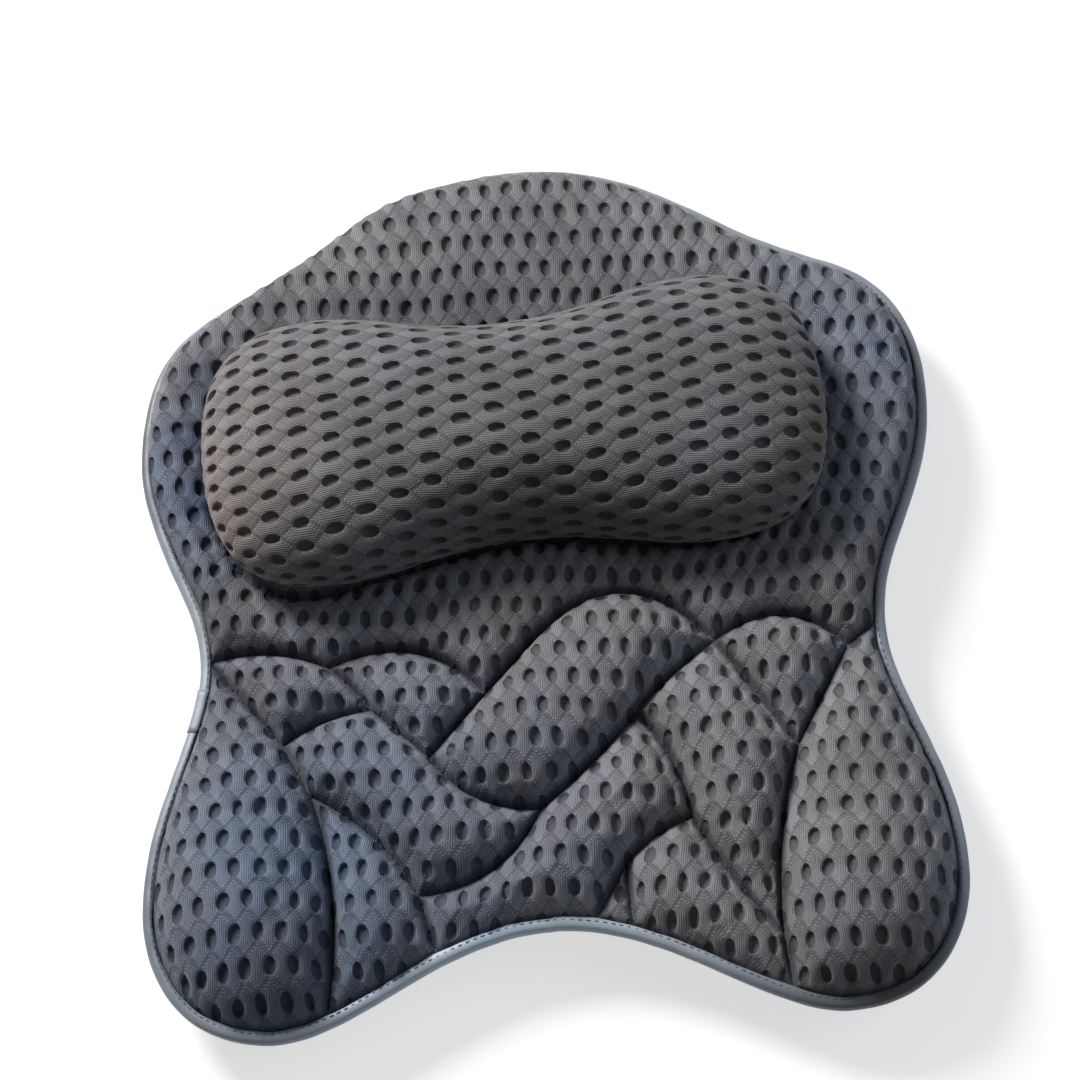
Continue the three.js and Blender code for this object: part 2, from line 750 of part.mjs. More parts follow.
function piece(parent, name, geometry, material) {
  const made = new THREE.Mesh(geometry, material);
  made.name = name;
  parent.add(made);
  return made;
}

piece(pillow, 'back_mesh_panel', backMeshPanel(), meshCloth);
piece(pillow, 'core_batting', coreBatting(), fibre);
piece(pillow, 'quilt_lining', quiltLining(), fibre);
piece(pillow, 'quilt_wadding', quiltWadding(), fibre);
piece(pillow, 'front_mesh_panel', frontMeshPanel(), meshCloth);
piece(pillow, 'edge_binding', edgeBinding(), tape);

const neckRoll = new THREE.Group();
neckRoll.position.set(roll.x, rollY, 0);
neckRoll.rotation.z = roll.turn;
pillow.add(neckRoll);
piece(neckRoll, 'neck_roll_base', rollBase(), fibre);
piece(neckRoll, 'neck_roll_filling', rollFilling(), fibre);
piece(neckRoll, 'neck_roll_cover', rollCover(), meshCloth);

for (const [place, [x, y]] of Object.entries(cupPlaces)) {
  const station = new THREE.Group();
  station.position.set(x, y, 0);
  pillow.add(station);
  piece(station, `eyelet_${place}`, eyeletRing(), plastic);
  piece(station, `eyelet_washer_${place}`, eyeletWasher(), plastic);
  const sucker = piece(station, `suction_cup_${place}`, suctionCup(), softVinyl);
  sucker.rotation.z = Math.atan2(y, x);
}

export default pillow;
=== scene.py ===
"""Looks of a bath pillow: a quilted pad of spacer mesh with a bound edge, a neck roll and six suction cups."""
import json
import math

import bmesh
import bpy
import numpy as np
from mathutils import Matrix, Vector, kdtree


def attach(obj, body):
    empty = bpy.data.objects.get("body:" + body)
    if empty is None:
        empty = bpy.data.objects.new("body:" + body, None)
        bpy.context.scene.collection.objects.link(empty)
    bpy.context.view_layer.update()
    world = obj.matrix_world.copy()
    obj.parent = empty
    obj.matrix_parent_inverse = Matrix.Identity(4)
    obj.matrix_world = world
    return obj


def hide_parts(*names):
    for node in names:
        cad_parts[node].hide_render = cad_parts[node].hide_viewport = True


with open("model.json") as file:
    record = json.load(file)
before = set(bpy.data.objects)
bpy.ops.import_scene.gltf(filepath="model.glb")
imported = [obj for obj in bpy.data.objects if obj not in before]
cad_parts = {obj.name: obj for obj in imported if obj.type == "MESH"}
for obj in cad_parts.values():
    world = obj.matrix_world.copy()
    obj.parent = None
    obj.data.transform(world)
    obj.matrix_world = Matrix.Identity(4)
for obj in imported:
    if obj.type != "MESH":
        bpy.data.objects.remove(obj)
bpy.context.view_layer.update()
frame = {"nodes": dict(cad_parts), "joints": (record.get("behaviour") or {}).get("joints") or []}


# Back panel: knitted spacer mesh about 4 mm thick, with rows of oval holes in its outer face.
# It is cut to the outline of the whole pad, dished over the batting, and pierced for six eyelets.

PAD_KNOTS = (  # crown to arch down the right side: x, y, heading, reach before and after the knot
    (0.000, 0.208, 0, 0.000, 0.437),
    (0.102, 0.167, -32, 0.273, 0.507),
    (0.180, 0.078, -90, 0.423, 0.428),
    (0.151, -0.035, -90, 0.343, 0.308),
    (0.176, -0.146, -90, 0.395, 0.446),
    (0.121, -0.208, -180, 0.398, 0.273),
    (0.000, -0.166, -180, 0.390, 0.000),
)
EDGE_SLUMP = (  # where the soft edge lies off that line: x, y, reach and how far out
    (0.152, 0.136, 0.030, 0.0052), (-0.066, 0.190, 0.026, 0.0030),
    (-0.178, 0.100, 0.030, -0.0028), (-0.160, 0.005, 0.030, 0.0015),
)
EDGE_STEP, CLOTH_TRIM = 0.0015, 0.0015  # both panels are trimmed that far inside the edge
BACK_CLOTH = (0.372, 0.428)
HOLE_STEP, ROW_STEP = 0.0100, 0.0145
HOLE_HALF = (0.0026, 0.0042)
HOLE_DEPTH, MESH_THICK, RIB_RISE = 0.0026, 0.0034, 0.00048
LIP_DROP, SHOULDER, HOLE_TAPER = 0.00055, 0.0007, 0.0004
BACK_FLAT, BACK_RIM = 0.0125, 0.02365
PLAN_CELL = 0.0015


def drawn(knots, share):
    """Points at the given shares along each span of the smooth curve through knots with headings."""
    way = [np.array((math.cos(math.radians(k[2])), math.sin(math.radians(k[2])))) for k in knots]
    t = np.asarray(share, float)[:, None]
    spans = []
    for i in range(len(knots) - 1):
        start, end = np.array(knots[i][:2]), np.array(knots[i + 1][:2])
        chord = np.linalg.norm(end - start)
        leave = start + knots[i][4] * chord * way[i]
        arrive = end - knots[i + 1][3] * chord * way[i + 1]
        spans.append((1 - t) ** 3 * start + 3 * t * (1 - t) ** 2 * leave + 3 * t * t * (1 - t) * arrive + t**3 * end)
    return np.vstack(spans)


def evened(points, step):
    """The same line, closed or open, with its points an even step apart."""
    run = np.concatenate(([0.0], np.cumsum(np.linalg.norm(np.diff(points, axis=0), axis=1))))
    stops = np.linspace(0, run[-1], max(2, round(run[-1] / step)) + 1)
    return np.stack([np.interp(stops, run, points[:, k]) for k in range(points.shape[1])], axis=1)


def outwards(loop):
    """Unit vectors that point out of a loop which runs anticlockwise."""
    way = np.roll(loop, -1, axis=0) - np.roll(loop, 1, axis=0)
    way /= np.linalg.norm(way, axis=1)[:, None]
    return np.stack((way[:, 1], -way[:, 0]), axis=1)


def nearest(line, points):
    """For each point, which point of the line is nearest and how far off it is."""
    tree = kdtree.KDTree(len(line))
    for i, (x, y) in enumerate(line.tolist()):
        tree.insert((x, y, 0.0), i)
    tree.balance()
    found = [tree.find((x, y, 0.0)) for x, y in points.tolist()]
    return np.array([f[1] for f in found]), np.array([f[2] for f in found])


def depth_in(loop, points):
    """How far points are inside a loop; negative outside it."""
    which, gap = nearest(loop, points)
    side = ((points - loop[which]) * outwards(loop)[which]).sum(axis=1)
    return np.where(side < 0, gap, -gap)


half_edge = drawn(PAD_KNOTS, np.linspace(0, 1, 60))
pad_edge = evened(np.vstack((half_edge[::-1], half_edge[1:] * (-1, 1))), EDGE_STEP)[:-1]
for x, y, reach, out in EDGE_SLUMP:
    push = out * np.exp(-((pad_edge - (x, y)) ** 2).sum(axis=1) / reach**2)
    pad_edge = pad_edge + outwards(pad_edge) * push[:, None]
pad_edge = evened(np.vstack((pad_edge, pad_edge[:1])), EDGE_STEP)[:-1]
pad_out = outwards(pad_edge)

plan_x = np.arange(-0.1920, 0.1921, PLAN_CELL)
plan_y = np.arange(-0.2205, 0.2206, PLAN_CELL)
plan = np.stack(np.meshgrid(plan_x, plan_y), axis=-1)
plan_depth = depth_in(pad_edge, plan.reshape(-1, 2)).reshape(plan.shape[:2])


def between(field, along, across):
    """A field on a grid, read between its cells at the given rows along and columns across."""
    i, j = along.astype(int), across.astype(int)
    p, q = along - i, across - j
    if field.ndim > 2:
        p, q = p[:, None], q[:, None]
    return ((1 - p) * ((1 - q) * field[i, j] + q * field[i, j + 1])
            + p * ((1 - q) * field[i + 1, j] + q * field[i + 1, j + 1]))


def on_plan(field, points):
    """A field kept on the plan's grid, read at points of the plan."""
    across = np.clip((points[:, 0] - plan_x[0]) / PLAN_CELL, 0, len(plan_x) - 1.001)
    along = np.clip((points[:, 1] - plan_y[0]) / PLAN_CELL, 0, len(plan_y) - 1.001)
    return between(field, along, across)


def eased(value, low, high):
    """A smooth step from 0 at low to 1 at high."""
    t = np.clip((value - low) / (high - low), 0, 1)
    return t * t * (3 - 2 * t)


def wavered(flat):
    """Flat cloth with its rows pulled a little out of line, as they are once the cloth is sewn."""
    u, v = flat[:, 0], flat[:, 1]
    return flat + np.column_stack((
        0.0011 * np.sin(v * 47 + 0.6) + 0.0007 * np.sin(u * 71 - v * 93 + 2.0) + 0.00035 * np.sin(u * 310 + v * 170),
        0.0010 * np.sin(u * 53 + 1.9) + 0.0007 * np.sin(u * 88 + v * 64) + 0.00035 * np.sin(u * 205 - v * 290 + 0.7)))


def verts_in(geom):
    return [g for g in geom if isinstance(g, bmesh.types.BMVert)]


def grown(bm, edges):
    """A strip drawn out from edges: its far verts and the edges between them."""
    made = bmesh.ops.extrude_edge_only(bm, edges=edges)["geom"]
    verts = verts_in(made)
    return verts, [g for g in made if isinstance(g, bmesh.types.BMEdge) and all(v in verts for v in g.verts)]


def knit_hole():
    """Two rows of the mesh, one hole each, with the plain knit behind them."""
    bm = bmesh.new()
    spoke = bm.verts.layers.int.new("spoke")
    even = [-1 + k / 3 for k in range(6)]
    square = ([(1, f) for f in even] + [(-f, 1) for f in even]
              + [(-1, -f) for f in even] + [(f, -1) for f in even])
    square.sort(key=lambda p: math.atan2(p[1], p[0]))

    def relief(x, y):
        return -RIB_RISE * math.cos(math.pi * y / ROW_STEP) * math.cos(2 * math.pi * x / HOLE_STEP)

    def oval(v, wider):
        aim = Vector(square[v[spoke]]).normalized()
        return aim.x * (HOLE_HALF[0] + wider), aim.y * (HOLE_HALF[1] + wider)

    def brick(v):
        return square[v[spoke]][0] * HOLE_STEP / 2, square[v[spoke]][1] * ROW_STEP / 2

    def numbered(verts):
        for i, v in enumerate(sorted(verts, key=lambda v: math.atan2(v.co.y, v.co.x))):
            v[spoke] = i
        return verts

    lip = numbered(bmesh.ops.create_circle(bm, segments=len(square), radius=1)["verts"])
    lip_edges = bm.edges[:]
    for v in lip:
        v.co = (*oval(v, 0), -LIP_DROP)
    shoulder, edges = grown(bm, lip_edges)
    for v in shoulder:
        x, y = oval(v, SHOULDER)
        v.co = (x, y, 0.0001 + 0.5 * relief(x, y))
    middle, edges = grown(bm, edges)
    for v in middle:
        (x, y), (far_x, far_y) = oval(v, SHOULDER), brick(v)
        x, y = (x + far_x) / 2, (y + far_y) / 2
        v.co = (x, y, relief(x, y))
    border, _ = grown(bm, edges)
    for v in border:
        x, y = brick(v)
        v.co = (x, y, relief(x, y))
    face = set(bm.faces)
    wall, edges = grown(bm, lip_edges)
    for v in wall:
        v.co = (*oval(v, -HOLE_TAPER), -0.85 * HOLE_DEPTH)
    floor, _ = grown(bm, edges)
    bmesh.ops.pointmerge(bm, verts=floor, merge_co=(0, 0, -HOLE_DEPTH))
    for f in bm.faces:
        f.material_index = 0 if f in face else 1
    for edge in bm.edges:
        edge.smooth = edge not in lip_edges
    top = set(bm.faces)
    bmesh.ops.recalc_face_normals(bm, faces=bm.faces)
    if sum(f.normal.z for f in bm.faces) < 0:
        bmesh.ops.reverse_faces(bm, faces=bm.faces)

    behind = bmesh.ops.create_circle(bm, cap_ends=True, cap_tris=True, segments=len(square), radius=1)["verts"]
    rim = numbered([v for v in behind if v.co.length > 0.5])
    for v in behind:
        v.co = (*brick(v), -MESH_THICK) if v in rim else (0, 0, -MESH_THICK)
    back = [f for f in bm.faces if f not in top]
    for f in back:
        f.material_index = 0
    bm.normal_update()
    bmesh.ops.reverse_faces(bm, faces=[f for f in back if f.normal.z > 0])

    bmesh.ops.translate(bm, verts=bm.verts, vec=(HOLE_STEP / 2, ROW_STEP / 2, 0))
    second = bmesh.ops.duplicate(bm, geom=bm.verts[:] + bm.edges[:] + bm.faces[:])["geom"]
    bmesh.ops.translate(bm, verts=verts_in(second), vec=(HOLE_STEP / 2, ROW_STEP, 0))
    bmesh.ops.remove_doubles(bm, verts=bm.verts, dist=1e-6)
    return bm


def placed(name, bm):
    """A piece made from a finished bmesh, with smooth faces."""
    mesh = bpy.data.meshes.new(name)
    bm.to_mesh(mesh)
    bm.free()
    piece = bpy.data.objects.new(name, mesh)
    bpy.context.scene.collection.objects.link(piece)
    mesh.polygons.foreach_set("use_smooth", np.ones(len(mesh.polygons), bool))
    return piece


def fitted(piece, slot, *finishes, body="pad", node=None):
    """The piece with its finishes, on the body it rides on and standing for its node; slot is not used."""
    for finish in finishes:
        piece.data.materials.append(finish)
    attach(piece, body)
    if node:
        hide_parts(node)
    return piece


def as_modified(piece):
    """The piece's mesh with its modifiers worked in."""
    return bpy.data.meshes.new_from_object(piece.evaluated_get(bpy.context.evaluated_depsgraph_get()))


def numbers(items, what, width):
    """One property of many mesh items, as rows of the given width."""
    values = np.empty(len(items) * width)
    items.foreach_get(what, values)
    return values.reshape(-1, width)


def zipped(bm, edge_loops):
    """Closes the slit between two ragged cut edges of the cloth, stepping round their middle along both."""
    middle = sum((e.verts[0].co for edges in edge_loops for e in edges), Vector()) / sum(map(len, edge_loops))
    rows, turns = [], []
    for edges in edge_loops:
        row, edge, left = [edges[0].verts[0]], edges[0], set(edges)
        while edge.other_vert(row[-1]) is not row[0]:
            left.discard(edge)
            row.append(edge.other_vert(row[-1]))
            edge = next(e for e in row[-1].link_edges if e in left)
        if sum((a.co - middle).xy.cross((b.co - middle).xy) for a, b in zip(row, row[1:] + row[:1])) < 0:
            row.reverse()
        turn = [math.atan2(v.co.y - middle.y, v.co.x - middle.x) for v in row]
        first = turn.index(min(turn))
        rows.append(row[first:] + row[:first + 1])
        turns.append(np.unwrap(turn[first:] + turn[:first + 1]).tolist() + [math.inf])
    one, two = rows
    follows = any(loop.vert is one[0] and loop.link_loop_next.vert is one[1] for loop in one[0].link_loops)
    i = j = 0
    while i + 1 < len(one) or j + 1 < len(two):
        a, b = one[i], two[j]
        on_one = turns[0][i + 1] < turns[1][j + 1]
        i, j = (i + 1, j) if on_one else (i, j + 1)
        strip = (a, one[i], b) if on_one else (a, two[j], b)
        bm.faces.new(strip[::-1] if follows else strip)


def knit(name, wide, tall, surface, outward=1, ribbed=1.0, seamed=None, beneath=None):
    """A sheet of the mesh at least wide by tall, laid on a surface and trimmed where the surface says.

    The surface takes flat points measured from the sheet's middle, and gives their place, how deep the
    holes are there from 0 to 1, and whether the cloth is kept. ribbed says how far its ribs stand up,
    seamed works the seams into the flat sheet, and beneath gives the height of its hidden side."""
    columns, pairs = math.ceil(wide / HOLE_STEP) + 2, math.ceil(tall / ROW_STEP / 2) + 1
    piece = placed(name, knit_hole())
    for count, step in ((columns, (HOLE_STEP, 0, 0)), (pairs, (0, 2 * ROW_STEP, 0))):
        copies = piece.modifiers.new("rows", "ARRAY")
        copies.count, copies.use_relative_offset, copies.use_constant_offset = count, False, True
        copies.constant_offset_displace = step
    mesh = as_modified(piece)
    piece.modifiers.clear()
    piece.data = mesh
    bm = bmesh.new()
    bm.from_mesh(mesh)
    bmesh.ops.remove_doubles(bm, verts=bm.verts, dist=1e-6)
    middle = Vector(((columns // 2 + 0.5) * HOLE_STEP, pairs * ROW_STEP, 0))
    bmesh.ops.translate(bm, verts=bm.verts, vec=-middle)
    if seamed:
        seamed(bm)
    bm.to_mesh(mesh)
    bm.free()

    flat = numbers(mesh.vertices, "co", 3)
    corner = np.empty(len(mesh.loops), np.int32)
    mesh.loops.foreach_get("vertex_index", corner)
    mesh.uv_layers.new(name="knit").data.foreach_set(
        "uv", ((flat[corner, :2] + middle.xy) / (HOLE_STEP, ROW_STEP)).astype(np.float32).ravel())

    spot, deep, kept = surface(flat[:, :2])
    if outward < 0:
        mesh.flip_normals()
    mesh.vertices.foreach_set("co", spot.ravel())
    mesh.update()
    normal = numbers(mesh.vertex_normals, "vector", 3)
    behind = flat[:, 2] < -0.95 * MESH_THICK
    raised = flat[:, 2] * deep * np.where(flat[:, 2] > -0.001, ribbed, 1.0)
    lift = np.where(behind, MESH_THICK * (0.62 + 0.38 * deep), raised)
    shaped = spot + normal * lift[:, None]
    if beneath:
        shaped[behind] = np.column_stack((spot[behind, :2], beneath(spot[behind, :2])))
    mesh.vertices.foreach_set("co", shaped.ravel())
    mesh.update()
    mesh.attributes.new("open", "FLOAT", "POINT").data.foreach_set("value", deep.astype(np.float32))

    bm = bmesh.new()
    bm.from_mesh(mesh)
    bm.verts.ensure_lookup_table()
    bmesh.ops.delete(bm, geom=[bm.verts[i] for i in np.flatnonzero(~kept)], context="VERTS")
    snarled = {f for e in bm.edges if len(e.link_faces) > 2 for f in e.link_faces}
    bmesh.ops.delete(bm, geom=list(snarled), context="FACES")
    while True:
        pinched = [v for v in bm.verts if sum(e.is_boundary for e in v.link_edges) > 2 or not v.link_faces]
        if not pinched:
            break
        bmesh.ops.delete(bm, geom=pinched, context="VERTS")
    loops, seen = [], set()
    for edge in bm.edges:
        if edge.is_boundary and edge not in seen:
            loop, ahead = [], [edge]
            while ahead:
                e = ahead.pop()
                if e not in seen:
                    seen.add(e)
                    loop.append(e)
                    ahead += [x for v in e.verts for x in v.link_edges if x.is_boundary]
            loops.append(loop)
    middles = [sum((v.co for e in loop for v in e.verts), Vector()) / (2 * len(loop)) for loop in loops]
    spans = [sum(e.calc_length() for e in loop) for loop in loops]
    order = sorted((i for i in range(len(loops)) if spans[i] > 0.02), key=lambda i: -spans[i])
    while order:
        first = order.pop(0)
        mates = [i for i in order
                 if (middles[i] - middles[first]).length < 0.02 and 0.6 < spans[i] / spans[first] < 1.6]
        if mates:
            mate = min(mates, key=lambda i: (middles[i] - middles[first]).length)
            order.remove(mate)
            zipped(bm, (loops[first], loops[mate]))
    slits = bmesh.ops.holes_fill(bm, edges=[e for e in bm.edges if e.is_boundary], sides=0)["faces"]
    bmesh.ops.reverse_faces(bm, faces=[f for f in slits if f.loops[0].link_loop_radial_next.vert == f.loops[0].vert])
    bm.to_mesh(mesh)
    bm.free()
    mesh.polygons.foreach_set("use_smooth", np.ones(len(mesh.polygons), bool))
    return piece


def add(tree, kind, inputs=(), **settings):
    """A shader node with its settings, its inputs fed by numbers, colours, sockets or other nodes."""
    made = tree.nodes.new("ShaderNode" + kind)
    for key, value in settings.items():
        setattr(made, key, value)
    for key, value in dict(inputs).items():
        if isinstance(value, bpy.types.Node):
            value = value.outputs[0]
        if isinstance(value, bpy.types.NodeSocket):
            tree.links.new(value, made.inputs[key])
        else:
            made.inputs[key].default_value = value
    return made


def reckon(tree, operation, a, b=0.0, c=0.0):
    return add(tree, "Math", {0: a, 1: b, 2: c}, operation=operation)


def ranged(tree, value, low, high, out_low=0.0, out_high=1.0):
    """A smooth step of the value from out_low at low to out_high at high."""
    return add(tree, "MapRange", {"Value": value, "From Min": low, "From Max": high,
                                  "To Min": out_low, "To Max": out_high}, interpolation_type="SMOOTHSTEP")


def mixed(tree, share, a, b, how="MIX"):
    return add(tree, "Mix", {0: share, 6: a, 7: b}, data_type="RGBA", blend_type=how).outputs[2]


def grainy(tree, scale, detail, **more):
    """Noise that stays with the piece."""
    spots = add(tree, "TexCoord").outputs["Object"]
    return add(tree, "TexNoise", {"Vector": spots, "Scale": scale, "Detail": detail, **more})


def roughened(tree, skin, strength, distance, height):
    """The surface raised by the height, as far as the distance."""
    bump = add(tree, "Bump", {"Strength": strength, "Distance": distance, "Height": height})
    tree.links.new(bump.outputs[0], skin.inputs["Normal"])


def finish_named(name, roughness, **sockets):
    """A new material with its surface shader, whose plain numbers sit on the shader's own sockets."""
    made = bpy.data.materials.new(name)
    made.use_nodes = True
    skin = made.node_tree.nodes["Principled BSDF"]
    skin.inputs["Roughness"].default_value = roughness
    for key, value in sockets.items():
        skin.inputs[key.replace("_", " ")].default_value = value
    return made, made.node_tree, skin


def with_patches_and_painted_shading(tree, paint, painted_shading):
    """Paint in warmer and cooler patches, with casts of painted light and shade laid over it.

    Each cast is a middle, how far it reaches and its colour; a colour above 1 paints light, below 1 paints shade."""
    spots = add(tree, "TexCoord").outputs["Object"]
    shade = mixed(tree, ranged(tree, grainy(tree, 26.0, 2.0), 0.36, 0.64), (1.03, 1.0, 0.966, 1), (0.97, 1.0, 1.036, 1))
    paint = mixed(tree, 1.0, paint, shade, "MULTIPLY")
    # painted light and shade: each cast lightens or darkens the paint round its middle
    for middle, reach, colour in painted_shading:
        far = add(tree, "VectorMath", {0: spots, 1: middle}, operation="DISTANCE").outputs["Value"]
        paint = mixed(tree, ranged(tree, far, 0.0, reach, 1.0, 0.0), paint, colour, "MULTIPLY")
    return paint


def shaded_at_creases(tree, paint, painted_shading):
    """Paint with painted shade in the creases where sewing squeezes the holes shut, then its patches and painted light
    and shade.
    """
    # painted shade: darker and bluer along the seams, the binding, the eyelets and the roll's foot, where the holes
    # close up
    crease_shade = ranged(tree, add(tree, "Attribute", attribute_name="open").outputs["Fac"], 0.0, 0.75, 1.0, 0.0)
    paint = mixed(tree, crease_shade, paint, (0.36, 0.38, 0.44, 1), "MULTIPLY")
    return with_patches_and_painted_shading(tree, paint, painted_shading)


def knit_finish(name, dark, light, painted_shading):
    """The knitted face: fine wales on the ribs, a dashed groove from each hole to the two beyond it, and a painted
    highlight in diamonds over the ribs.
    """
    made, tree, skin = finish_named(name, 0.82, Sheen_Weight=0.18, Sheen_Roughness=0.45, Specular_IOR_Level=0.3)

    def times(a, b):
        return reckon(tree, "MULTIPLY", a, b)

    at = add(tree, "SeparateXYZ", {0: add(tree, "UVMap", uv_map="knit")})
    u, v = at.outputs["X"], at.outputs["Y"]
    rows = reckon(tree, "SUBTRACT", v, 0.5)
    t = reckon(tree, "FRACT", rows)
    odd = reckon(tree, "FLOORED_MODULO", reckon(tree, "FLOOR", rows), 2.0)
    aside = reckon(tree, "FRACT", reckon(tree, "ADD", u, times(odd, 0.5)))
    d = times(reckon(tree, "ABSOLUTE", reckon(tree, "SUBTRACT", aside, 0.5)), HOLE_STEP * 1000)
    tip = HOLE_HALF[1] / ROW_STEP
    run = times(reckon(tree, "SUBTRACT", t, tip), HOLE_STEP * 500 / (1 - 2 * tip))
    off = times(reckon(tree, "ABSOLUTE", reckon(tree, "SUBTRACT", d, run)), 0.72)
    groove = ranged(tree, off, 0.25, 1.15, 1.0, 0.0)
    along = reckon(tree, "ADD", times(d, 0.66), times(times(v, ROW_STEP * 1000), 0.75))
    hatch = reckon(tree, "SINE", times(along, 2 * math.pi / 1.45))
    dash = ranged(tree, hatch, -0.4, 0.5, 0.12, 1.0)
    band = ranged(tree, off, 0.7, 2.2, 1.0, 0.0)
    rib_highlight = times(reckon(tree, "COSINE", times(u, 2 * math.pi)), reckon(tree, "COSINE", times(v, math.pi)))
    wale = reckon(tree, "SINE", times(u, HOLE_STEP * 1000 * 2 * math.pi / 0.9))
    lines = reckon(tree, "ADD", times(hatch, band), times(wale, reckon(tree, "SUBTRACT", 0.8, band)))
    cut = times(groove, dash)
    fuzz = grainy(tree, 1400.0, 2.0)
    tone = reckon(tree, "ADD", times(grainy(tree, 24.0, 3.0), 0.5), times(fuzz, 0.5))
    tone = reckon(tree, "MULTIPLY_ADD", lines, 0.19, tone)
    # painted highlight: the tone is lifted in diamonds over the ribs and lowered between them
    tone = reckon(tree, "MULTIPLY_ADD", rib_highlight, 0.10, tone)
    paint = mixed(tree, ranged(tree, tone, 0.2, 0.85), dark, light)
    deep = tuple(0.45 * c for c in dark[:3]) + (1.0,)
    paint = mixed(tree, times(cut, 0.48), paint, deep)
    tree.links.new(shaded_at_creases(tree, paint, painted_shading), skin.inputs["Base Color"])
    height = reckon(tree, "SUBTRACT", times(lines, 0.30), cut)
    roughened(tree, skin, 0.7, 0.0005, reckon(tree, "MULTIPLY_ADD", fuzz, 0.25, height))
    return made


def pile_finish(name, dark, light, painted_shading):
    """The upright yarns seen down in the holes: painted darker than the face as painted shade in the holes, and
    streaked along the knit.
    """
    made, tree, skin = finish_named(name, 0.95, Specular_IOR_Level=0.15)
    weave = add(tree, "UVMap", uv_map="knit")
    spread = add(tree, "Mapping", {"Vector": weave, "Scale": (9.0, 22.0, 1.0)})
    streak = add(tree, "TexNoise", {"Vector": spread, "Scale": 1.6, "Detail": 4.0, "Roughness": 0.7})
    paint = mixed(tree, ranged(tree, streak, 0.35, 0.7), dark, light)
    tree.links.new(shaded_at_creases(tree, paint, painted_shading), skin.inputs["Base Color"])
    roughened(tree, skin, 0.8, 0.0006, streak)
    return made


back_face = knit_finish("grey_back_mesh", (0.096, 0.095, 0.104, 1), (0.271, 0.268, 0.285, 1), ())
# The pile is painted darker than the face beside it: painted shade in the holes.
back_pile = pile_finish("grey_back_pile", (0.076, 0.076, 0.083, 1), (0.182, 0.181, 0.193, 1), ())

PLACES = ("upper_left", "upper_right", "middle_left", "middle_right", "lower_left", "lower_right")
cup_at = {j["child"]: j["pos_m"] for j in frame["joints"]}
EYELET_HOLE = 0.0083


def back_surface(flat):
    """The back's outer face: flat under the cups, dished up to the binding and drawn in round each eyelet."""
    depth = on_plan(plan_depth, flat)
    spot = flat.copy()
    deep = eased(depth, 0.006, 0.020)
    kept = depth > CLOTH_TRIM
    for x, y, _ in cup_at.values():
        off = flat - (x, y)
        far = np.hypot(off[:, 0], off[:, 1])
        snug = np.abs(far - EYELET_HOLE) < 0.0016
        spot[snug] = (x, y) + off[snug] * (EYELET_HOLE / far[snug])[:, None]
        kept &= snug | (far > EYELET_HOLE)
        deep = np.minimum(deep, eased(far, EYELET_HOLE + 0.002, EYELET_HOLE + 0.007))
    depth = on_plan(plan_depth, spot)
    dished = (1 - np.clip((depth - 0.005) / 0.025, 0, 1)) ** 1.3
    height = BACK_FLAT + (BACK_RIM - BACK_FLAT) * dished
    return np.column_stack((spot, height)), deep, kept


back_panel = knit("back_panel", *BACK_CLOTH, back_surface, outward=-1)
fitted(back_panel, "grey_mesh", back_face, back_pile, node="back_mesh_panel")


# Eyelets and washers: six pairs of moulded grey plastic rings that clamp the back panel's holes.
# Each eyelet has a flange outside and a barrel through the cloth, and its washer is pressed on inside.


def turned(name, profile, centre, around=64):
    """A ring or cup turned about an upright axis from its closed profile of radius and height."""
    bm = bmesh.new()
    verts = [bm.verts.new((radius, 0, height)) for radius, height in profile]
    for i in range(len(verts)):
        if profile[i][0] > 1e-9 or profile[(i + 1) % len(verts)][0] > 1e-9:
            bm.edges.new((verts[i], verts[(i + 1) % len(verts)]))
    bmesh.ops.spin(bm, geom=bm.verts[:] + bm.edges[:], cent=(0, 0, 0), axis=(0, 0, 1), angle=2 * math.pi,
                   steps=around, use_merge=True, use_duplicate=False)
    bmesh.ops.remove_doubles(bm, verts=bm.verts, dist=1e-7)
    bmesh.ops.recalc_face_normals(bm, faces=bm.faces)
    bmesh.ops.translate(bm, verts=bm.verts, vec=(centre[0], centre[1], 0))
    return placed(name, bm)


def rounded(corners, radius, steps=4):
    """A closed profile with its corners rounded off."""
    made = []
    for i, here in enumerate(corners):
        here = np.array(here)
        before, after = np.array(corners[i - 1]) - here, np.array(corners[(i + 1) % len(corners)]) - here
        cut = min(radius, 0.49 * np.linalg.norm(before), 0.49 * np.linalg.norm(after))
        start = here + before / np.linalg.norm(before) * cut
        end = here + after / np.linalg.norm(after) * cut
        for t in np.linspace(0, 1, steps):
            made.append(tuple((1 - t) ** 2 * start + 2 * t * (1 - t) * here + t * t * end))
    return made


ring_plastic, tree, skin = finish_named("eyelet_plastic", 0.38, Specular_IOR_Level=0.45)
grain = grainy(tree, 900.0, 3.0)
tree.links.new(mixed(tree, grain, (0.10, 0.102, 0.108, 1), (0.14, 0.142, 0.148, 1)), skin.inputs["Base Color"])
tree.links.new(ranged(tree, grain, 0.3, 0.7, 0.34, 0.5).outputs[0], skin.inputs["Roughness"])
roughened(tree, skin, 0.15, 0.0002, grain)

EYELET_PROFILE = ((0.0057, 0.0109), (0.0105, 0.0109), (0.0105, 0.0122),
                  (0.0080, 0.0122), (0.0080, 0.0178), (0.0057, 0.0178))
WASHER_PROFILE = ((0.0083, 0.0166), (0.0120, 0.0166), (0.0120, 0.0178), (0.0083, 0.0178))
for place in PLACES:
    for kind, node, profile in (("eyelet", "eyelet_", EYELET_PROFILE), ("washer", "eyelet_washer_", WASHER_PROFILE)):
        ring = turned(f"{kind}_ring_{place}", rounded(profile, 0.0004), cup_at["cup_" + place])
        fitted(ring, "eyelet_plastic", ring_plastic, node=node + place)


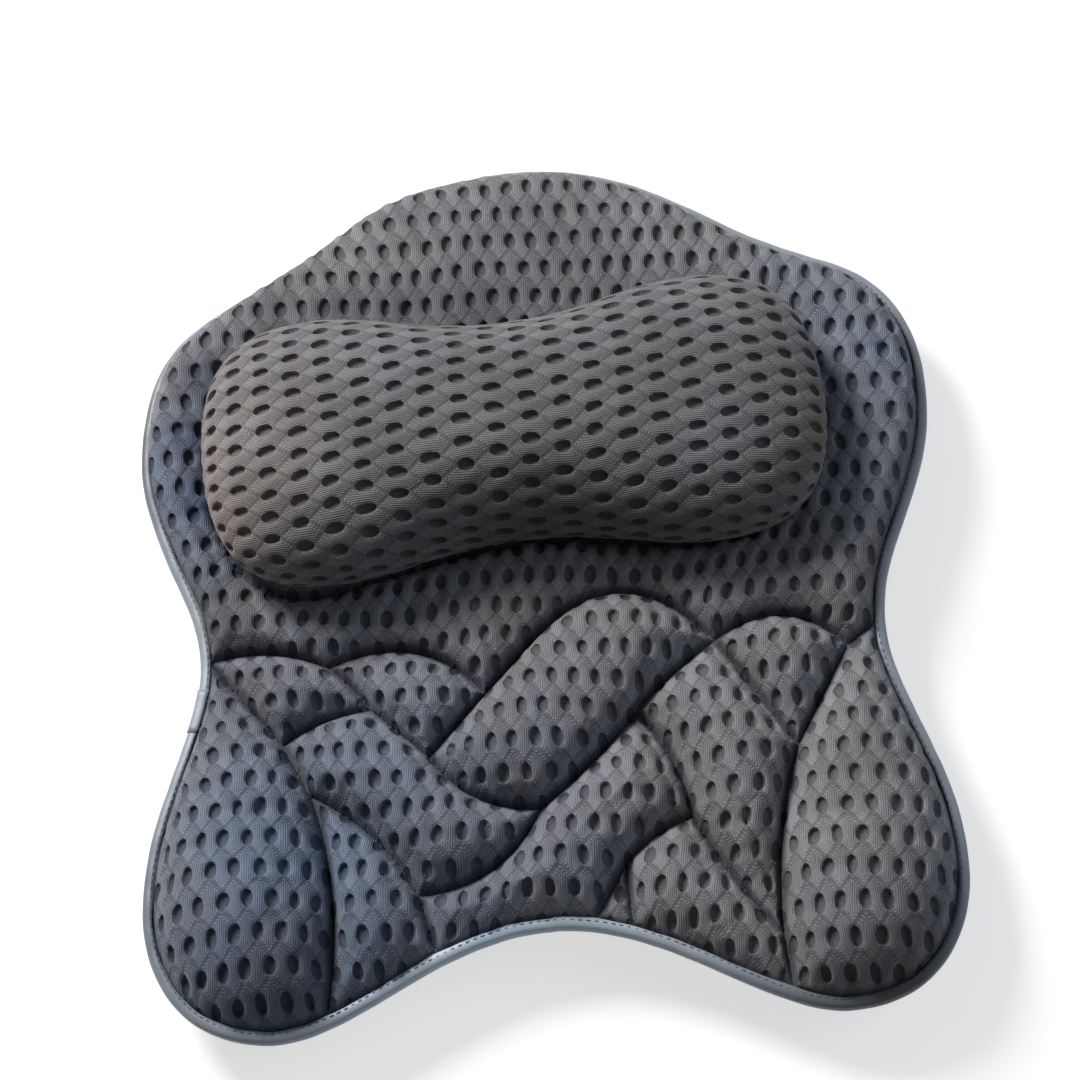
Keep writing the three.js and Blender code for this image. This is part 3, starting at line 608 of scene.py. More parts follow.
# Batting and lining: a slab of white polyester fibre in the middle of the pad, and a thin sheet of it on top.
# They lie loose between the two mesh panels and are sewn in with the edge; the quilting goes through the lining.


def filling(name, node):
    """A soft layer in the space of its solid."""
    bm = bmesh.new()
    bm.from_mesh(frame["nodes"][node].data)
    bmesh.ops.remove_doubles(bm, verts=bm.verts, dist=1e-6)
    bmesh.ops.subdivide_edges(bm, edges=bm.edges, cuts=1, use_grid_fill=True)
    return fitted(placed(name, bm), "white_fibre", fibre, node=node)


fibre, tree, skin = finish_named("white_polyester_fibre", 0.9, Sheen_Weight=0.3, Specular_IOR_Level=0.2)
tangle = grainy(tree, 420.0, 6.0, Roughness=0.75, Distortion=1.5)
tree.links.new(mixed(tree, tangle, (0.62, 0.62, 0.60, 1), (0.86, 0.86, 0.85, 1)), skin.inputs["Base Color"])
roughened(tree, skin, 0.8, 0.0012, tangle)

batting = filling("batting_slab", "core_batting")
lining = filling("lining_sheet", "quilt_lining")


# Front panel: the same spacer mesh, sewn through the wadding to the lining along bowed seams.
# The seams make leaf-shaped cells and two long side teardrops; the upper half is left plain for the neck roll.

WAIST_HALF, WAIST_Y, ARCH_DROP = 0.151, -0.035, 0.131
RIM = 0.0046
SEAM_LEVEL, ROLL_SEAT = 0.02835, 0.0340
JOINTS = {  # across from the middle in half waists, down from the waist in drops to the arch
    "leftNotch": (-0.625, 0.046), "leftFork": (-0.505, 0.206), "tearLeftHigh": (-0.762, 0.318),
    "tearLeftLow": (-0.684, 0.500), "centreNotch": (-0.171, 0.175), "centreFork": (-0.340, 0.389),
    "heart": (-0.025, 0.592), "lowLeftFork": (-0.381, 0.864), "rightNotch": (0.503, 0.034),
    "centreRightFork": (0.260, 0.279), "lowRightFork": (0.405, 0.652), "tearRightHigh": (0.719, 0.427),
    "tearRightTip": (0.883, 0.081), "tearRightLow": (0.636, 1.068), "tinyLeafTip": (0.207, 0.798),
}
FOOT_ENDS = {"tearLeftFoot": (-1, 0.228), "tearRightFoot": (1, 0.228), "archLeft": (-1, 0.64),
             "archRight": (1, 0.775), "archCentre": (1, 0.89)}
SEAMS = (  # from, to, and the bow to the left as a share of the length
    ("waistLeft", "leftNotch", 0.10), ("leftNotch", "centreNotch", 0.19), ("leftNotch", "leftFork", 0.03),
    ("tearLeftHigh", "leftFork", 0.07), ("leftFork", "centreFork", 0.0), ("centreFork", "centreNotch", 0.0),
    ("centreFork", "heart", -0.14), ("heart", "centreRightFork", -0.03), ("centreRightFork", "rightNotch", 0.03),
    ("lowLeftFork", "heart", -0.145), ("tearLeftLow", "lowLeftFork", 0.075), ("waistLeft", "tearLeftHigh", 0.0),
    ("tearLeftHigh", "tearLeftLow", 0.0), ("tearLeftFoot", "tearLeftLow", -0.065), ("lowLeftFork", "archLeft", 0.0),
    ("centreRightFork", "lowRightFork", 0.08), ("tinyLeafTip", "lowRightFork", 0.07),
    ("archCentre", "tinyLeafTip", 0.0),
    ("archRight", "tinyLeafTip", 0.0), ("tearRightTip", "rightNotch", -0.22), ("rightNotch", "tearRightHigh", 0.0),
    ("waistRight", "tearRightTip", 0.0), ("tearRightHigh", "tearRightTip", 0.0),
    ("tearRightLow", "tearRightHigh", 0.047),
    ("tearRightFoot", "tearRightLow", 0.0), ("lowRightFork", "tearRightLow", -0.03),
)
CENTRE_TOP = ((0.371, -0.107), (0.219, -0.160), (0.053, -0.084))
ROLL_PLACE, ROLL_TURN = np.array((-0.007, 0.0575)), math.radians(3.3)
ROLL_KNOTS = ((0.000, 0.0510, 0, 0.000, 0.466), (0.085, 0.0630, 0, 0.408, 0.485), (0.139, 0.000, -90, 0.497, 0.000))
ROLL_SPINE, ROLL_FOOT_SHARE, ROLL_GUTTER = 0.074, 0.80, (0.005, 0.012)  # the gutter is wider round the left end
LEAF_CROWN, FIELD_CROWN, FULLNESS, SEAM_SOFT, SLACK_TAKEN = 0.0280, 0.0175, 1.22, 0.0007, 0.6
FOOT_EASE = 0.5  # how much lower the swelling starts beside the binding round the foot
OVERHANG = (0.0012, 0.0018, 0.0046)  # how far it rolls out over the binding: at the foot, crown and left shoulder
FRONT_CLOTH, SEAM_STEP = (0.47, 0.53), 0.0006


def at_joint(name):
    """Where a joint of the seams lies on the pad."""
    if name in JOINTS:
        return np.array((JOINTS[name][0] * WAIST_HALF, WAIST_Y - JOINTS[name][1] * ARCH_DROP))
    if name in FOOT_ENDS:
        side, share = FOOT_ENDS[name]
        before, here, after = drawn(PAD_KNOTS[5:], (share - 0.01, share, share + 0.01))
        way = (after - before) / np.linalg.norm(after - before)
        return (here - RIM * np.array((-way[1], way[0]))) * (side, 1)
    return np.array(((WAIST_HALF - RIM) * (-1 if name == "waistLeft" else 1), WAIST_Y))


def bowed(start, end, bow):
    """A seam from start to end, bowed to its left by a share of its length."""
    reach = end - start
    control = (start + end) / 2 + 2 * bow * np.array((-reach[1], reach[0]))
    t = np.linspace(0, 1, 40)[:, None]
    return (1 - t) ** 2 * start + 2 * t * (1 - t) * control + t * t * end


def smooth_through(points):
    """A line through points, each span a cubic that leaves along its neighbours' chord."""
    points = np.vstack((2 * points[0] - points[1], points, 2 * points[-1] - points[-2]))
    t = np.linspace(0, 1, 20)[:, None]
    return np.vstack([
        0.5 * (2 * b + (c - a) * t + (2 * a - 5 * b + 4 * c - d) * t**2 + (3 * b - a - 3 * c + d) * t**3)
        for a, b, c, d in zip(points, points[1:], points[2:], points[3:])])


seam_lines = [evened(bowed(at_joint(a), at_joint(b), bow), SEAM_STEP) for a, b, bow in SEAMS]
crest = np.array([(x * WAIST_HALF, WAIST_Y - y * ARCH_DROP) for x, y in CENTRE_TOP])
crest = np.vstack((at_joint("rightNotch"), crest, at_joint("centreNotch")))
seam_lines.append(evened(smooth_through(crest), SEAM_STEP))

roll_quarter = drawn(ROLL_KNOTS, np.linspace(0, 1, 40))
roll_half = np.vstack((roll_quarter, roll_quarter[::-1][1:] * (1, -1)))
roll_edge = evened(np.vstack((roll_half[::-1], roll_half[1:] * (-1, 1))), EDGE_STEP)[:-1]
spine = np.column_stack((np.clip(roll_edge[:, 0], -ROLL_SPINE, ROLL_SPINE), np.zeros(len(roll_edge))))
foot_loop = spine + ROLL_FOOT_SHARE * (roll_edge - spine)
gutter = np.interp(foot_loop[:, 0], (-0.105, -0.070), ROLL_GUTTER[::-1])
foot_loop = foot_loop + gutter[:, None] * outwards(foot_loop)
roll_way = np.array(((math.cos(ROLL_TURN), math.sin(ROLL_TURN)), (-math.sin(ROLL_TURN), math.cos(ROLL_TURN))))
foot_loop = foot_loop @ roll_way + ROLL_PLACE

rim_loop = evened(np.vstack((pad_edge - RIM * pad_out, pad_edge[:1] - RIM * pad_out[:1])), SEAM_STEP)[:-1]
sewn_lines = np.vstack(seam_lines + [rim_loop, evened(foot_loop, SEAM_STEP)])
plan_points = plan.reshape(-1, 2)
plan_sewn = nearest(sewn_lines, plan_points)[1].reshape(plan_depth.shape)
plan_foot = depth_in(foot_loop, plan_points).reshape(plan_depth.shape)


def gathered(across, along):
    """What the links between cells of the plan carry, added up in each cell."""
    out = np.zeros_like(plan_depth)
    out[:, :-1] -= across
    out[:, 1:] += across
    out[:-1] -= along
    out[1:] += along
    return out


def settled(free, start, source, link_x, link_y, turns=700):
    """The smoothest field on the plan's grid that keeps its held cells and answers its source."""

    def pull(field):
        return np.where(free, gathered(link_x * np.diff(field, axis=1), link_y * np.diff(field, axis=0)), 0)

    field = start.copy()
    rest = np.where(free, source, 0) - pull(field)
    step, size = rest.copy(), (rest * rest).sum()
    for _ in range(turns):
        pulled = pull(step)
        gain = size / (step * pulled).sum()
        field += gain * step
        rest -= gain * pulled
        smaller = (rest * rest).sum()
        if smaller < 1e-22:
            break
        step, size = rest + smaller / size * step, smaller
    return field


def spread(field, known, turns):
    """The field carried outwards from its known cells."""
    field, known = np.where(known, field, 0.0), known.astype(float)
    for _ in range(turns):
        total, weight = field * known, known.copy()
        for axis in (0, 1):
            for way in (1, -1):
                total += np.roll(field * known, way, axis)
                weight += np.roll(known, way, axis)
        field = np.where(weight > 0, total / np.maximum(weight, 1e-9), field)
        known = (weight > 0).astype(float)
    return field


everywhere = (np.ones((len(plan_y), len(plan_x) - 1)), np.ones((len(plan_y) - 1, len(plan_x))))
swelling = (plan_depth > RIM) & (plan_foot < 0) & (plan_sewn > 0.72 * PLAN_CELL)
swell = settled(swelling, np.zeros_like(plan_depth), np.full_like(plan_depth, PLAN_CELL**2), *everywhere)
steep = spread(swell / np.maximum(plan_sewn, 1e-6), swelling & (plan_sewn > 1.2 * PLAN_CELL), 4)
for _ in range(3):
    steep = spread(steep, np.ones_like(swelling), 1)
field_part = swelling & (np.hypot(plan[..., 0], plan[..., 1] - 0.17) < 0.01)
filled = 0
while filled != field_part.sum():
    filled = field_part.sum()
    for axis in (0, 1):
        field_part = (field_part | np.roll(field_part, 1, axis) | np.roll(field_part, -1, axis)) & swelling
from_rim = np.maximum(plan_depth - RIM, 0)
to_rim = from_rim / np.maximum(from_rim + np.maximum(-plan_foot, 0), 1e-6)
crown = spread(np.where(field_part, FIELD_CROWN * (1.08 - 0.55 * to_rim), LEAF_CROWN), swelling, 3)
held = np.where(plan_foot >= 0, ROLL_SEAT, SEAM_LEVEL)
ground = settled(swelling, held, np.zeros_like(plan_depth), *everywhere)


def swollen(points, sewn):
    """Height of the front's outer face, from the seams up to the crowns between them."""
    puffed = (on_plan(plan_depth, points) > RIM) & (on_plan(plan_foot, points) < 0)
    pull = 2 * np.maximum(on_plan(steep, points), 0)
    wide = np.sqrt(pull * (sewn + SEAM_SOFT)) - np.sqrt(pull * SEAM_SOFT)
    most = np.maximum(on_plan(crown, points), 0.01)
    inset = np.maximum(on_plan(plan_depth, points) - RIM, 0)
    eases = FOOT_EASE * (1 - eased(points[:, 1], -0.15, -0.06)) * np.exp(-inset / 0.011)
    return on_plan(ground, points) + np.where(puffed, (1 - eases) * most * np.tanh(FULLNESS * wide / most), 0)


plan_height = swollen(plan_points, plan_sewn.ravel()).reshape(plan_depth.shape)
inside = plan_depth > 0
both_x, both_y = (inside[:, 1:] & inside[:, :-1]) * 1.0, (inside[1:] & inside[:-1]) * 1.0
length_x = both_x * (np.hypot(PLAN_CELL, np.diff(plan_height, axis=1)) - PLAN_CELL)
length_y = both_y * (np.hypot(PLAN_CELL, np.diff(plan_height, axis=0)) - PLAN_CELL)
slack = [spread(settled(inside, np.zeros_like(plan_depth), want, both_x, both_y), inside, 12)
         for want in (gathered(length_x, 0 * length_y), gathered(0 * length_x, length_y))]
slack = [s - on_plan(s, np.zeros((1, 2)))[0] for s in slack]


lowest = plan_height.copy()
for _ in range(3):
    for axis in (0, 1):
        lowest = np.minimum(lowest, np.minimum(np.roll(lowest, 1, axis), np.roll(lowest, -1, axis)))


def under_front(spot):
    """Height of the front's hidden side, which passes under every dip near it."""
    return on_plan(lowest, spot) - MESH_THICK


def laid_down(flat):
    """Where flat cloth comes to lie on the plan, once its slack is taken up by the swelling."""
    flat = wavered(flat)
    spot = flat * 0.9
    for _ in range(40):
        spot = spot + 0.4 * (flat - spot - SLACK_TAKEN * np.column_stack([on_plan(s, spot) for s in slack]))
    return spot


seam_points = np.vstack(seam_lines)
seam_start = np.vstack([line[:-1] for line in seam_lines])
seam_end = np.vstack([line[1:] for line in seam_lines])


def seams_in(bm):
    """Finer cloth beside the quilting seams, and an edge of the cloth laid exactly along each one."""

    def gaps():
        flat = np.array([v.co for v in bm.verts])
        lain = laid_down(flat[:, :2])
        near = np.where((on_plan(plan_sewn, lain) < 0.006) & (flat[:, 2] > -0.95 * MESH_THICK))[0]
        gap = np.full(len(flat), 1.0)
        gap[near] = nearest(seam_points, lain[near])[1]
        bm.verts.index_update()
        return lain, gap

    lain, gap = gaps()
    beside = [e for e in bm.edges if gap[e.verts[0].index] < 0.0032 and gap[e.verts[1].index] < 0.0032]
    bmesh.ops.subdivide_edges(bm, edges=beside, cuts=1, use_grid_fill=True)
    lain, gap = gaps()
    beside = [e for e in bm.edges if gap[e.verts[0].index] < 0.0025 and gap[e.verts[1].index] < 0.0025]
    start = np.array([lain[e.verts[0].index] for e in beside])
    way = np.array([lain[e.verts[1].index] for e in beside]) - start
    which = nearest((seam_start + seam_end) / 2, start + way / 2)[0]
    share = np.zeros(len(beside))
    for step in range(-4, 5):
        k = np.clip(which + step, 0, len(seam_start) - 1)
        along, off = seam_end[k] - seam_start[k], seam_start[k] - start
        turn = way[:, 0] * along[:, 1] - way[:, 1] * along[:, 0]
        turn = np.where(np.abs(turn) < 1e-14, 1e-14, turn)
        t = (off[:, 0] * along[:, 1] - off[:, 1] * along[:, 0]) / turn
        u = (off[:, 0] * way[:, 1] - off[:, 1] * way[:, 0]) / turn
        share = np.where((t > 0.04) & (t < 0.96) & (u >= 0) & (u <= 1), t, share)
    bm.verts.ensure_lookup_table()
    on_seam = [bm.verts[i] for i in np.where(gap < 0.00025)[0]]
    for e, t in zip(beside, share.tolist()):
        if t > 0:
            on_seam.append(bmesh.utils.edge_split(e, e.verts[0], t)[1])
    bmesh.ops.connect_verts(bm, verts=on_seam, check_degenerate=False)
    bmesh.ops.triangulate(bm, faces=[f for f in bm.faces if len(f.verts) > 4])


BLOW_STEP, BLOW_FRAMES, BLOW_OUT, BLOW_IN = 0.0040, 20, 0.0030, 0.0007


def blown(name, wide, tall, surface, held, loose):
    """How far the cloth moves when air swells a coarse copy of it, cut a little loose, between its held points."""
    columns, rows = round(wide / BLOW_STEP), round(tall / BLOW_STEP)
    bm = bmesh.new()
    bmesh.ops.create_grid(bm, x_segments=columns, y_segments=rows, size=1)
    bmesh.ops.scale(bm, verts=bm.verts, vec=(columns * BLOW_STEP / 2, rows * BLOW_STEP / 2, 1))
    copy = placed(name, bm)
    flat = numbers(copy.data.vertices, "co", 3)[:, :2]
    spot, _, kept = surface(flat)
    copy.data.vertices.foreach_set("co", spot.ravel())
    copy.data.update()
    normal = numbers(copy.data.vertex_normals, "vector", 3)
    sewn = copy.vertex_groups.new(name="sewn")
    sewn.add(np.flatnonzero(held(spot) | ~kept).tolist(), 1.0, "REPLACE")
    air = copy.modifiers.new("air", "CLOTH")
    air.settings.quality, air.settings.mass = 5, 0.2
    air.settings.tension_stiffness = air.settings.compression_stiffness = 12
    air.settings.shear_stiffness, air.settings.bending_stiffness = 4, 0.4
    air.settings.shrink_min = -loose
    air.settings.use_pressure, air.settings.uniform_pressure_force = True, 4
    air.settings.vertex_group_mass = "sewn"
    air.settings.effector_weights.gravity = 0
    air.point_cache.frame_end = BLOW_FRAMES
    for frame_number in range(1, BLOW_FRAMES + 1):
        bpy.context.scene.frame_set(frame_number)
    swelled = copy.evaluated_get(bpy.context.evaluated_depsgraph_get())
    moved = numbers(swelled.data.vertices, "co", 3) - spot
    bpy.data.objects.remove(copy)
    bpy.context.scene.frame_set(1)
    rise = (moved * normal).sum(axis=1)[:, None]
    moved = normal * np.where(rise > 0, BLOW_OUT * np.tanh(rise / BLOW_OUT), BLOW_IN * np.tanh(rise / BLOW_IN))
    table = np.zeros((rows + 1, columns + 1, 3))
    row = np.rint(flat[:, 1] / BLOW_STEP + rows / 2).astype(int)
    column = np.rint(flat[:, 0] / BLOW_STEP + columns / 2).astype(int)
    table[row, column] = moved

    def read(flat):
        across = np.clip(flat[:, 0] / BLOW_STEP + columns / 2, 0, columns - 0.001)
        along = np.clip(flat[:, 1] / BLOW_STEP + rows / 2, 0, rows - 0.001)
        return between(table, along, across)

    return read


def front_surface(flat):
    """The front's outer face, drawn down and puckered at its seams and rolled out over the binding."""
    spot = laid_down(flat)
    depth = on_plan(plan_depth, spot)
    which, sewn = nearest(sewn_lines, spot)
    snug = (sewn < 0.0003) & (depth > RIM + 0.0005)
    spot[snug] = sewn_lines[which[snug]]
    sewn = np.where(snug, 0.0, sewn)
    height = swollen(spot, sewn)
    pucker = np.sin(which * 0.55) * np.sin(which * 0.13 + 1.0) * np.exp(-sewn / 0.005) * eased(sewn, 0, 0.003)
    height = height + 0.0005 * pucker * (depth > RIM + 0.001)
    deep = np.where(depth < RIM + 0.001, 0.0, eased(sewn, 0.0004, 0.0048))
    upper, left = eased(spot[:, 1], -0.02, 0.11), 1 - eased(spot[:, 0], -0.10, -0.01)
    inset = np.maximum(depth - RIM, 0)
    over = OVERHANG[0] + (OVERHANG[1] - OVERHANG[0] + (OVERHANG[2] - OVERHANG[1]) * left) * upper
    over = over * (1 - np.exp(-inset / 0.0012)) * np.exp(-inset / 0.024)
    out = pad_out[nearest(pad_edge, spot)[0]]
    lain = np.column_stack((spot + out * over[:, None], height))
    if front_blown:
        lain += front_blown(flat) * eased(sewn, 0.0012, 0.0060)[:, None]
    return lain, deep, depth > CLOTH_TRIM


front_blown = None
front_blown = blown("front_cloth", *FRONT_CLOTH, front_surface,
                    lambda spot: on_plan(plan_sewn, spot[:, :2]) < 0.0026, loose=0.018)

front_panel = knit("front_panel", *FRONT_CLOTH, front_surface, seamed=seams_in, beneath=under_front)
# Painted light and shade on the pad, each a middle, reach and colour: bluish painted shade low on the left, on the
# right shoulder and in the gutter by the roll's left end; painted shade on the field above the roll, along the roll's
# top edge, at the left waist and at the feet of both lobes; and a painted pool of light low on the right.
PAD_PAINTED_SHADING = (((-0.100, -0.140, 0.03), 0.150, (0.68, 0.88, 1.16, 1)),
             ((0.180, 0.085, 0.03), 0.110, (0.80, 0.94, 1.14, 1)),
             ((-0.165, 0.040, 0.03), 0.075, (0.70, 0.84, 1.06, 1)),
             ((0.000, 0.135, 0.04), 0.085, (0.74, 0.74, 0.76, 1)),
             ((0.115, -0.120, 0.03), 0.120, (1.20, 1.19, 1.17, 1)),
             ((-0.130, -0.215, 0.03), 0.100, (0.54, 0.56, 0.60, 1)),
             ((0.150, -0.215, 0.03), 0.080, (0.50, 0.50, 0.52, 1)),
             ((-0.155, -0.018, 0.03), 0.060, (0.60, 0.62, 0.67, 1)),
             ((-0.150, 0.103, 0.036), 0.024, (0.50, 0.57, 0.76, 1)),
             ((-0.155, 0.075, 0.036), 0.024, (0.50, 0.57, 0.76, 1)),
             ((-0.150, 0.044, 0.036), 0.024, (0.50, 0.57, 0.76, 1)),
             ((-0.115, 0.131, 0.038), 0.024, (0.55, 0.56, 0.62, 1)),
             ((-0.085, 0.133, 0.038), 0.024, (0.55, 0.56, 0.62, 1)),
             ((-0.055, 0.130, 0.038), 0.024, (0.58, 0.59, 0.64, 1)),
             ((-0.024, 0.127, 0.038), 0.024, (0.66, 0.67, 0.72, 1)))
pad_face = knit_finish("grey_spacer_mesh", (0.096, 0.095, 0.104, 1), (0.271, 0.268, 0.285, 1), PAD_PAINTED_SHADING)
# The pile is painted darker than the face beside it: painted shade in the holes.
pad_pile = pile_finish("grey_mesh_pile", (0.076, 0.076, 0.083, 1), (0.182, 0.181, 0.193, 1), PAD_PAINTED_SHADING)
fitted(front_panel, "grey_mesh", pad_face, pad_pile, node="front_mesh_panel")


# Wadding: a loose white polyester layer between the lining and the front panel, which makes the leaves swell.
# It is quilted through along every seam, so it is thick in the cells and pressed away beside the sewing.

WADDING_LOW, WADDING_LEAST, WADDING_GAP = 0.0248, 0.0253, 0.0003  # its underside, its lowest top, the gap above

bm = bmesh.new()
bmesh.ops.create_grid(bm, x_segments=90, y_segments=104, size=1)
bmesh.ops.scale(bm, verts=bm.verts, vec=(0.180, 0.208, 1))
spot = np.array([v.co for v in bm.verts])[:, :2]
top = under_front(spot) - WADDING_GAP
inner = (on_plan(plan_depth, spot) > RIM + 0.002) & (top > WADDING_LEAST)
for v, height in zip(bm.verts, top):
    v.co.z = height
bmesh.ops.delete(bm, geom=[v for v, keep in zip(bm.verts[:], inner) if not keep], context="VERTS")
bmesh.ops.delete(bm, geom=[v for v in bm.verts if not v.link_faces], context="VERTS")
bottom = bmesh.ops.extrude_face_region(bm, geom=bm.faces[:])["geom"]
for v in verts_in(bottom):
    v.co.z = WADDING_LOW
bmesh.ops.recalc_face_normals(bm, faces=bm.faces)
wadding = fitted(placed("wadding_layer", bm), "white_fibre", fibre, node="quilt_wadding")


# Neck roll: a dog-bone bolster covered with the same mesh turned a quarter turn, filled with loose fibre.
# Its cover is gathered in under the roll and sewn to the front panel along its foot, over a thin base sheet.

ROLL_RISE, ROLL_HALF, ROLL_FULL = 0.056, 0.032, 2.3
ROLL_CLOTH = (0.27, 0.43)

section_turn = np.linspace(math.pi / 2, -0.78, 400)
section_share = np.abs(np.cos(section_turn)) ** (2 / ROLL_FULL)
rising = np.sin(section_turn)
section_height = ROLL_RISE + ROLL_HALF * np.sign(rising) * np.abs(rising) ** (2 / ROLL_FULL)
section_steps = np.arange(len(section_turn))
REACHES = np.linspace(0.050, 0.070, 11)
section_run = [np.concatenate(([0.0], np.cumsum(np.hypot(np.diff(section_share * r), np.diff(section_height)))))
               for r in REACHES]
upper_edge = roll_quarter[roll_quarter[:, 0] <= ROLL_SPINE + 0.001]
tip_edge = roll_quarter[roll_quarter[:, 0] >= ROLL_SPINE - 0.001] - (ROLL_SPINE, 0)
tip_turn = np.arctan2(tip_edge[:, 1], tip_edge[:, 0])[::-1]
tip_reach = np.hypot(tip_edge[:, 0], tip_edge[:, 1])[::-1]


def roll_surface(plain):
    """The roll's outer face, its flat cloth wrapped from the ridge down both sides and round the ends."""
    flat = wavered(plain)
    along, across = flat[:, 1], -flat[:, 0]
    on_spine = np.clip(along, -ROLL_SPINE, ROLL_SPINE)
    off = np.column_stack((along - on_spine, across))
    run = np.hypot(off[:, 0], off[:, 1])
    aim = off / np.maximum(run, 1e-9)[:, None]
    ended = np.abs(along) > ROLL_SPINE
    reach = np.where(ended, np.interp(np.arctan2(np.abs(aim[:, 1]), np.abs(aim[:, 0])), tip_turn, tip_reach),
                     np.interp(np.abs(along), upper_edge[:, 0], upper_edge[:, 1]))
    lower = np.clip(((reach - REACHES[0]) / (REACHES[1] - REACHES[0])).astype(int), 0, len(REACHES) - 2)
    share = (reach - REACHES[lower]) / (REACHES[1] - REACHES[0])
    turn = np.zeros_like(run)
    for k in range(len(REACHES) - 1):
        mine = lower == k
        turn[mine] = ((1 - share[mine]) * np.interp(run[mine], section_run[k], section_steps)
                      + share[mine] * np.interp(run[mine], section_run[k + 1], section_steps))
    out = np.interp(turn, section_steps, section_share) * reach
    height = np.interp(turn, section_steps, section_height)
    spot = np.column_stack((on_spine, np.zeros_like(run))) + aim * out[:, None]
    spot = spot @ roll_way + ROLL_PLACE
    kept = turn < len(section_turn) - 2
    deep = 0.25 + 0.75 * eased(len(section_turn) - turn, 4, 60)
    lain = np.column_stack((spot, height))
    if roll_blown:
        lain += roll_blown(plain) * eased(len(section_turn) - turn, 10, 90)[:, None]
    return lain, deep, kept


roll_blown = None
roll_blown = blown("roll_cloth", *ROLL_CLOTH, roll_surface, lambda spot: spot[:, 2] < 0.040, loose=0.006)

roll_cover = knit("roll_cover", *ROLL_CLOTH, roll_surface, ribbed=0.45)
# Painted light and shade on the roll: a painted pool of light on its left end and under it, painted shade across its
# lower middle, and a warmer, browner cast on its right end.
ROLL_PAINTED_SHADING = (((-0.140, 0.050, 0.05), 0.110, (1.46, 1.34, 1.25, 1)),
              ((0.135, 0.045, 0.05), 0.060, (1.10, 0.95, 0.78, 1)),
              ((0.000, 0.000, 0.05), 0.100, (0.78, 0.74, 0.68, 1)),
              ((-0.125, 0.020, 0.045), 0.045, (1.50, 1.38, 1.28, 1)))
# The roll's mesh is the pad's painted about a fifth darker, and its pile a little darker: painted shade.
roll_face = knit_finish("grey_roll_mesh", (0.078, 0.0765, 0.0825, 1), (0.214, 0.209, 0.221, 1), ROLL_PAINTED_SHADING)
roll_pile = pile_finish("grey_roll_pile", (0.070, 0.068, 0.072, 1), (0.168, 0.164, 0.170, 1), ROLL_PAINTED_SHADING)
fitted(roll_cover, "grey_mesh", roll_face, roll_pile, node="neck_roll_cover")

roll_filling = filling("roll_filling", "neck_roll_filling")
roll_base = filling("roll_base_sheet", "neck_roll_base")


# Edge binding: a satin tape folded over the cut edges of both panels and sewn through along its lips.
# It runs all round the pad, and its two ends are lapped on the left edge just below the waist.

BINDING_STEP = 0.0025
TAPE_SECTION = ((0.0042, 0.02945), (0.0027, 0.02960), (0.0010, 0.02920), (-0.0003, 0.02820), (-0.0007, 0.02600),
                (-0.0003, 0.02380), (0.0010, 0.02280), (0.0030, 0.02245), (0.0050, 0.02250), (0.0050, 0.02330),
                (0.0030, 0.02330), (0.0012, 0.02390), (0.0004, 0.02600), (0.0012, 0.02800), (0.0027, 0.02865),
                (0.0042, 0.02865))  # how far in from the edge and how high: round the outside, then back inside
TAPE_OUTSIDE, TAPE_MIDDLE, TAPE_THINNED = 9, 0.026, -0.0002  # points outside, mid height, growth of the inside
LAP_PLACE, LAP_STATIONS, LAP_SWELL = (-0.150, -0.046), 9, 0.0005

bind_line = evened(np.vstack((pad_edge, pad_edge[:1])), BINDING_STEP)[:-1]
bind_out = outwards(bind_line)
bind_run = np.arange(len(bind_line)) * BINDING_STEP
wobble = (0.0003 * np.sin(bind_run * 61 + 1.3) + 0.0002 * np.sin(bind_run * 143)
          + 0.00012 * np.sin(bind_run * 367 + 2.1))


def tape(name, stations, swell=0.0):
    """Tape folded round the edge over the given stations of the edge line; closed into a ring if it covers all."""
    bm = bmesh.new()
    station = bm.verts.layers.int.new("station")
    whole = len(stations) == len(bind_line)
    if whole:
        verts = bmesh.ops.create_circle(bm, segments=len(stations), radius=1)["verts"]
    else:
        verts = [bm.verts.new((0, 0, 0)) for _ in stations]
        for a, b in zip(verts, verts[1:]):
            bm.edges.new((a, b))
    for v, i in zip(verts, stations):
        v[station] = i
    edges = bm.edges[:]

    def set_down(verts, k):
        inward, height = TAPE_SECTION[k]
        grow = swell if k < TAPE_OUTSIDE else TAPE_THINNED
        for v in verts:
            i = v[station]
            lip = wobble[i] if inward > 0.004 else 0.3 * wobble[i]
            x, y = bind_line[i] - bind_out[i] * (inward + lip - (grow if inward < 0.002 else -0.4 * grow))
            v.co = (x, y, height + math.copysign(grow, height - TAPE_MIDDLE) + 0.4 * wobble[(i * 3) % len(wobble)])

    set_down(verts, 0)
    first = edges
    for k in range(1, len(TAPE_SECTION)):
        verts, edges = grown(bm, edges)
        set_down(verts, k)
    bmesh.ops.bridge_loops(bm, edges=first + edges)
    if not whole:
        bmesh.ops.holes_fill(bm, edges=[e for e in bm.edges if e.is_boundary], sides=0)
    bmesh.ops.recalc_face_normals(bm, faces=bm.faces)
    return placed(name, bm)


binding = tape("binding_tape", range(len(bind_line)))
satin, tree, skin = finish_named("grey_satin_tape", 0.42, Sheen_Weight=0.15, Specular_IOR_Level=0.5)
ribs = grainy(tree, 1600.0, 3.0)
paint = mixed(tree, reckon(tree, "MULTIPLY_ADD", ribs, 0.5, reckon(tree, "MULTIPLY", grainy(tree, 60.0, 2.0), 0.5)),
              (0.175, 0.198, 0.230, 1), (0.320, 0.360, 0.408, 1))
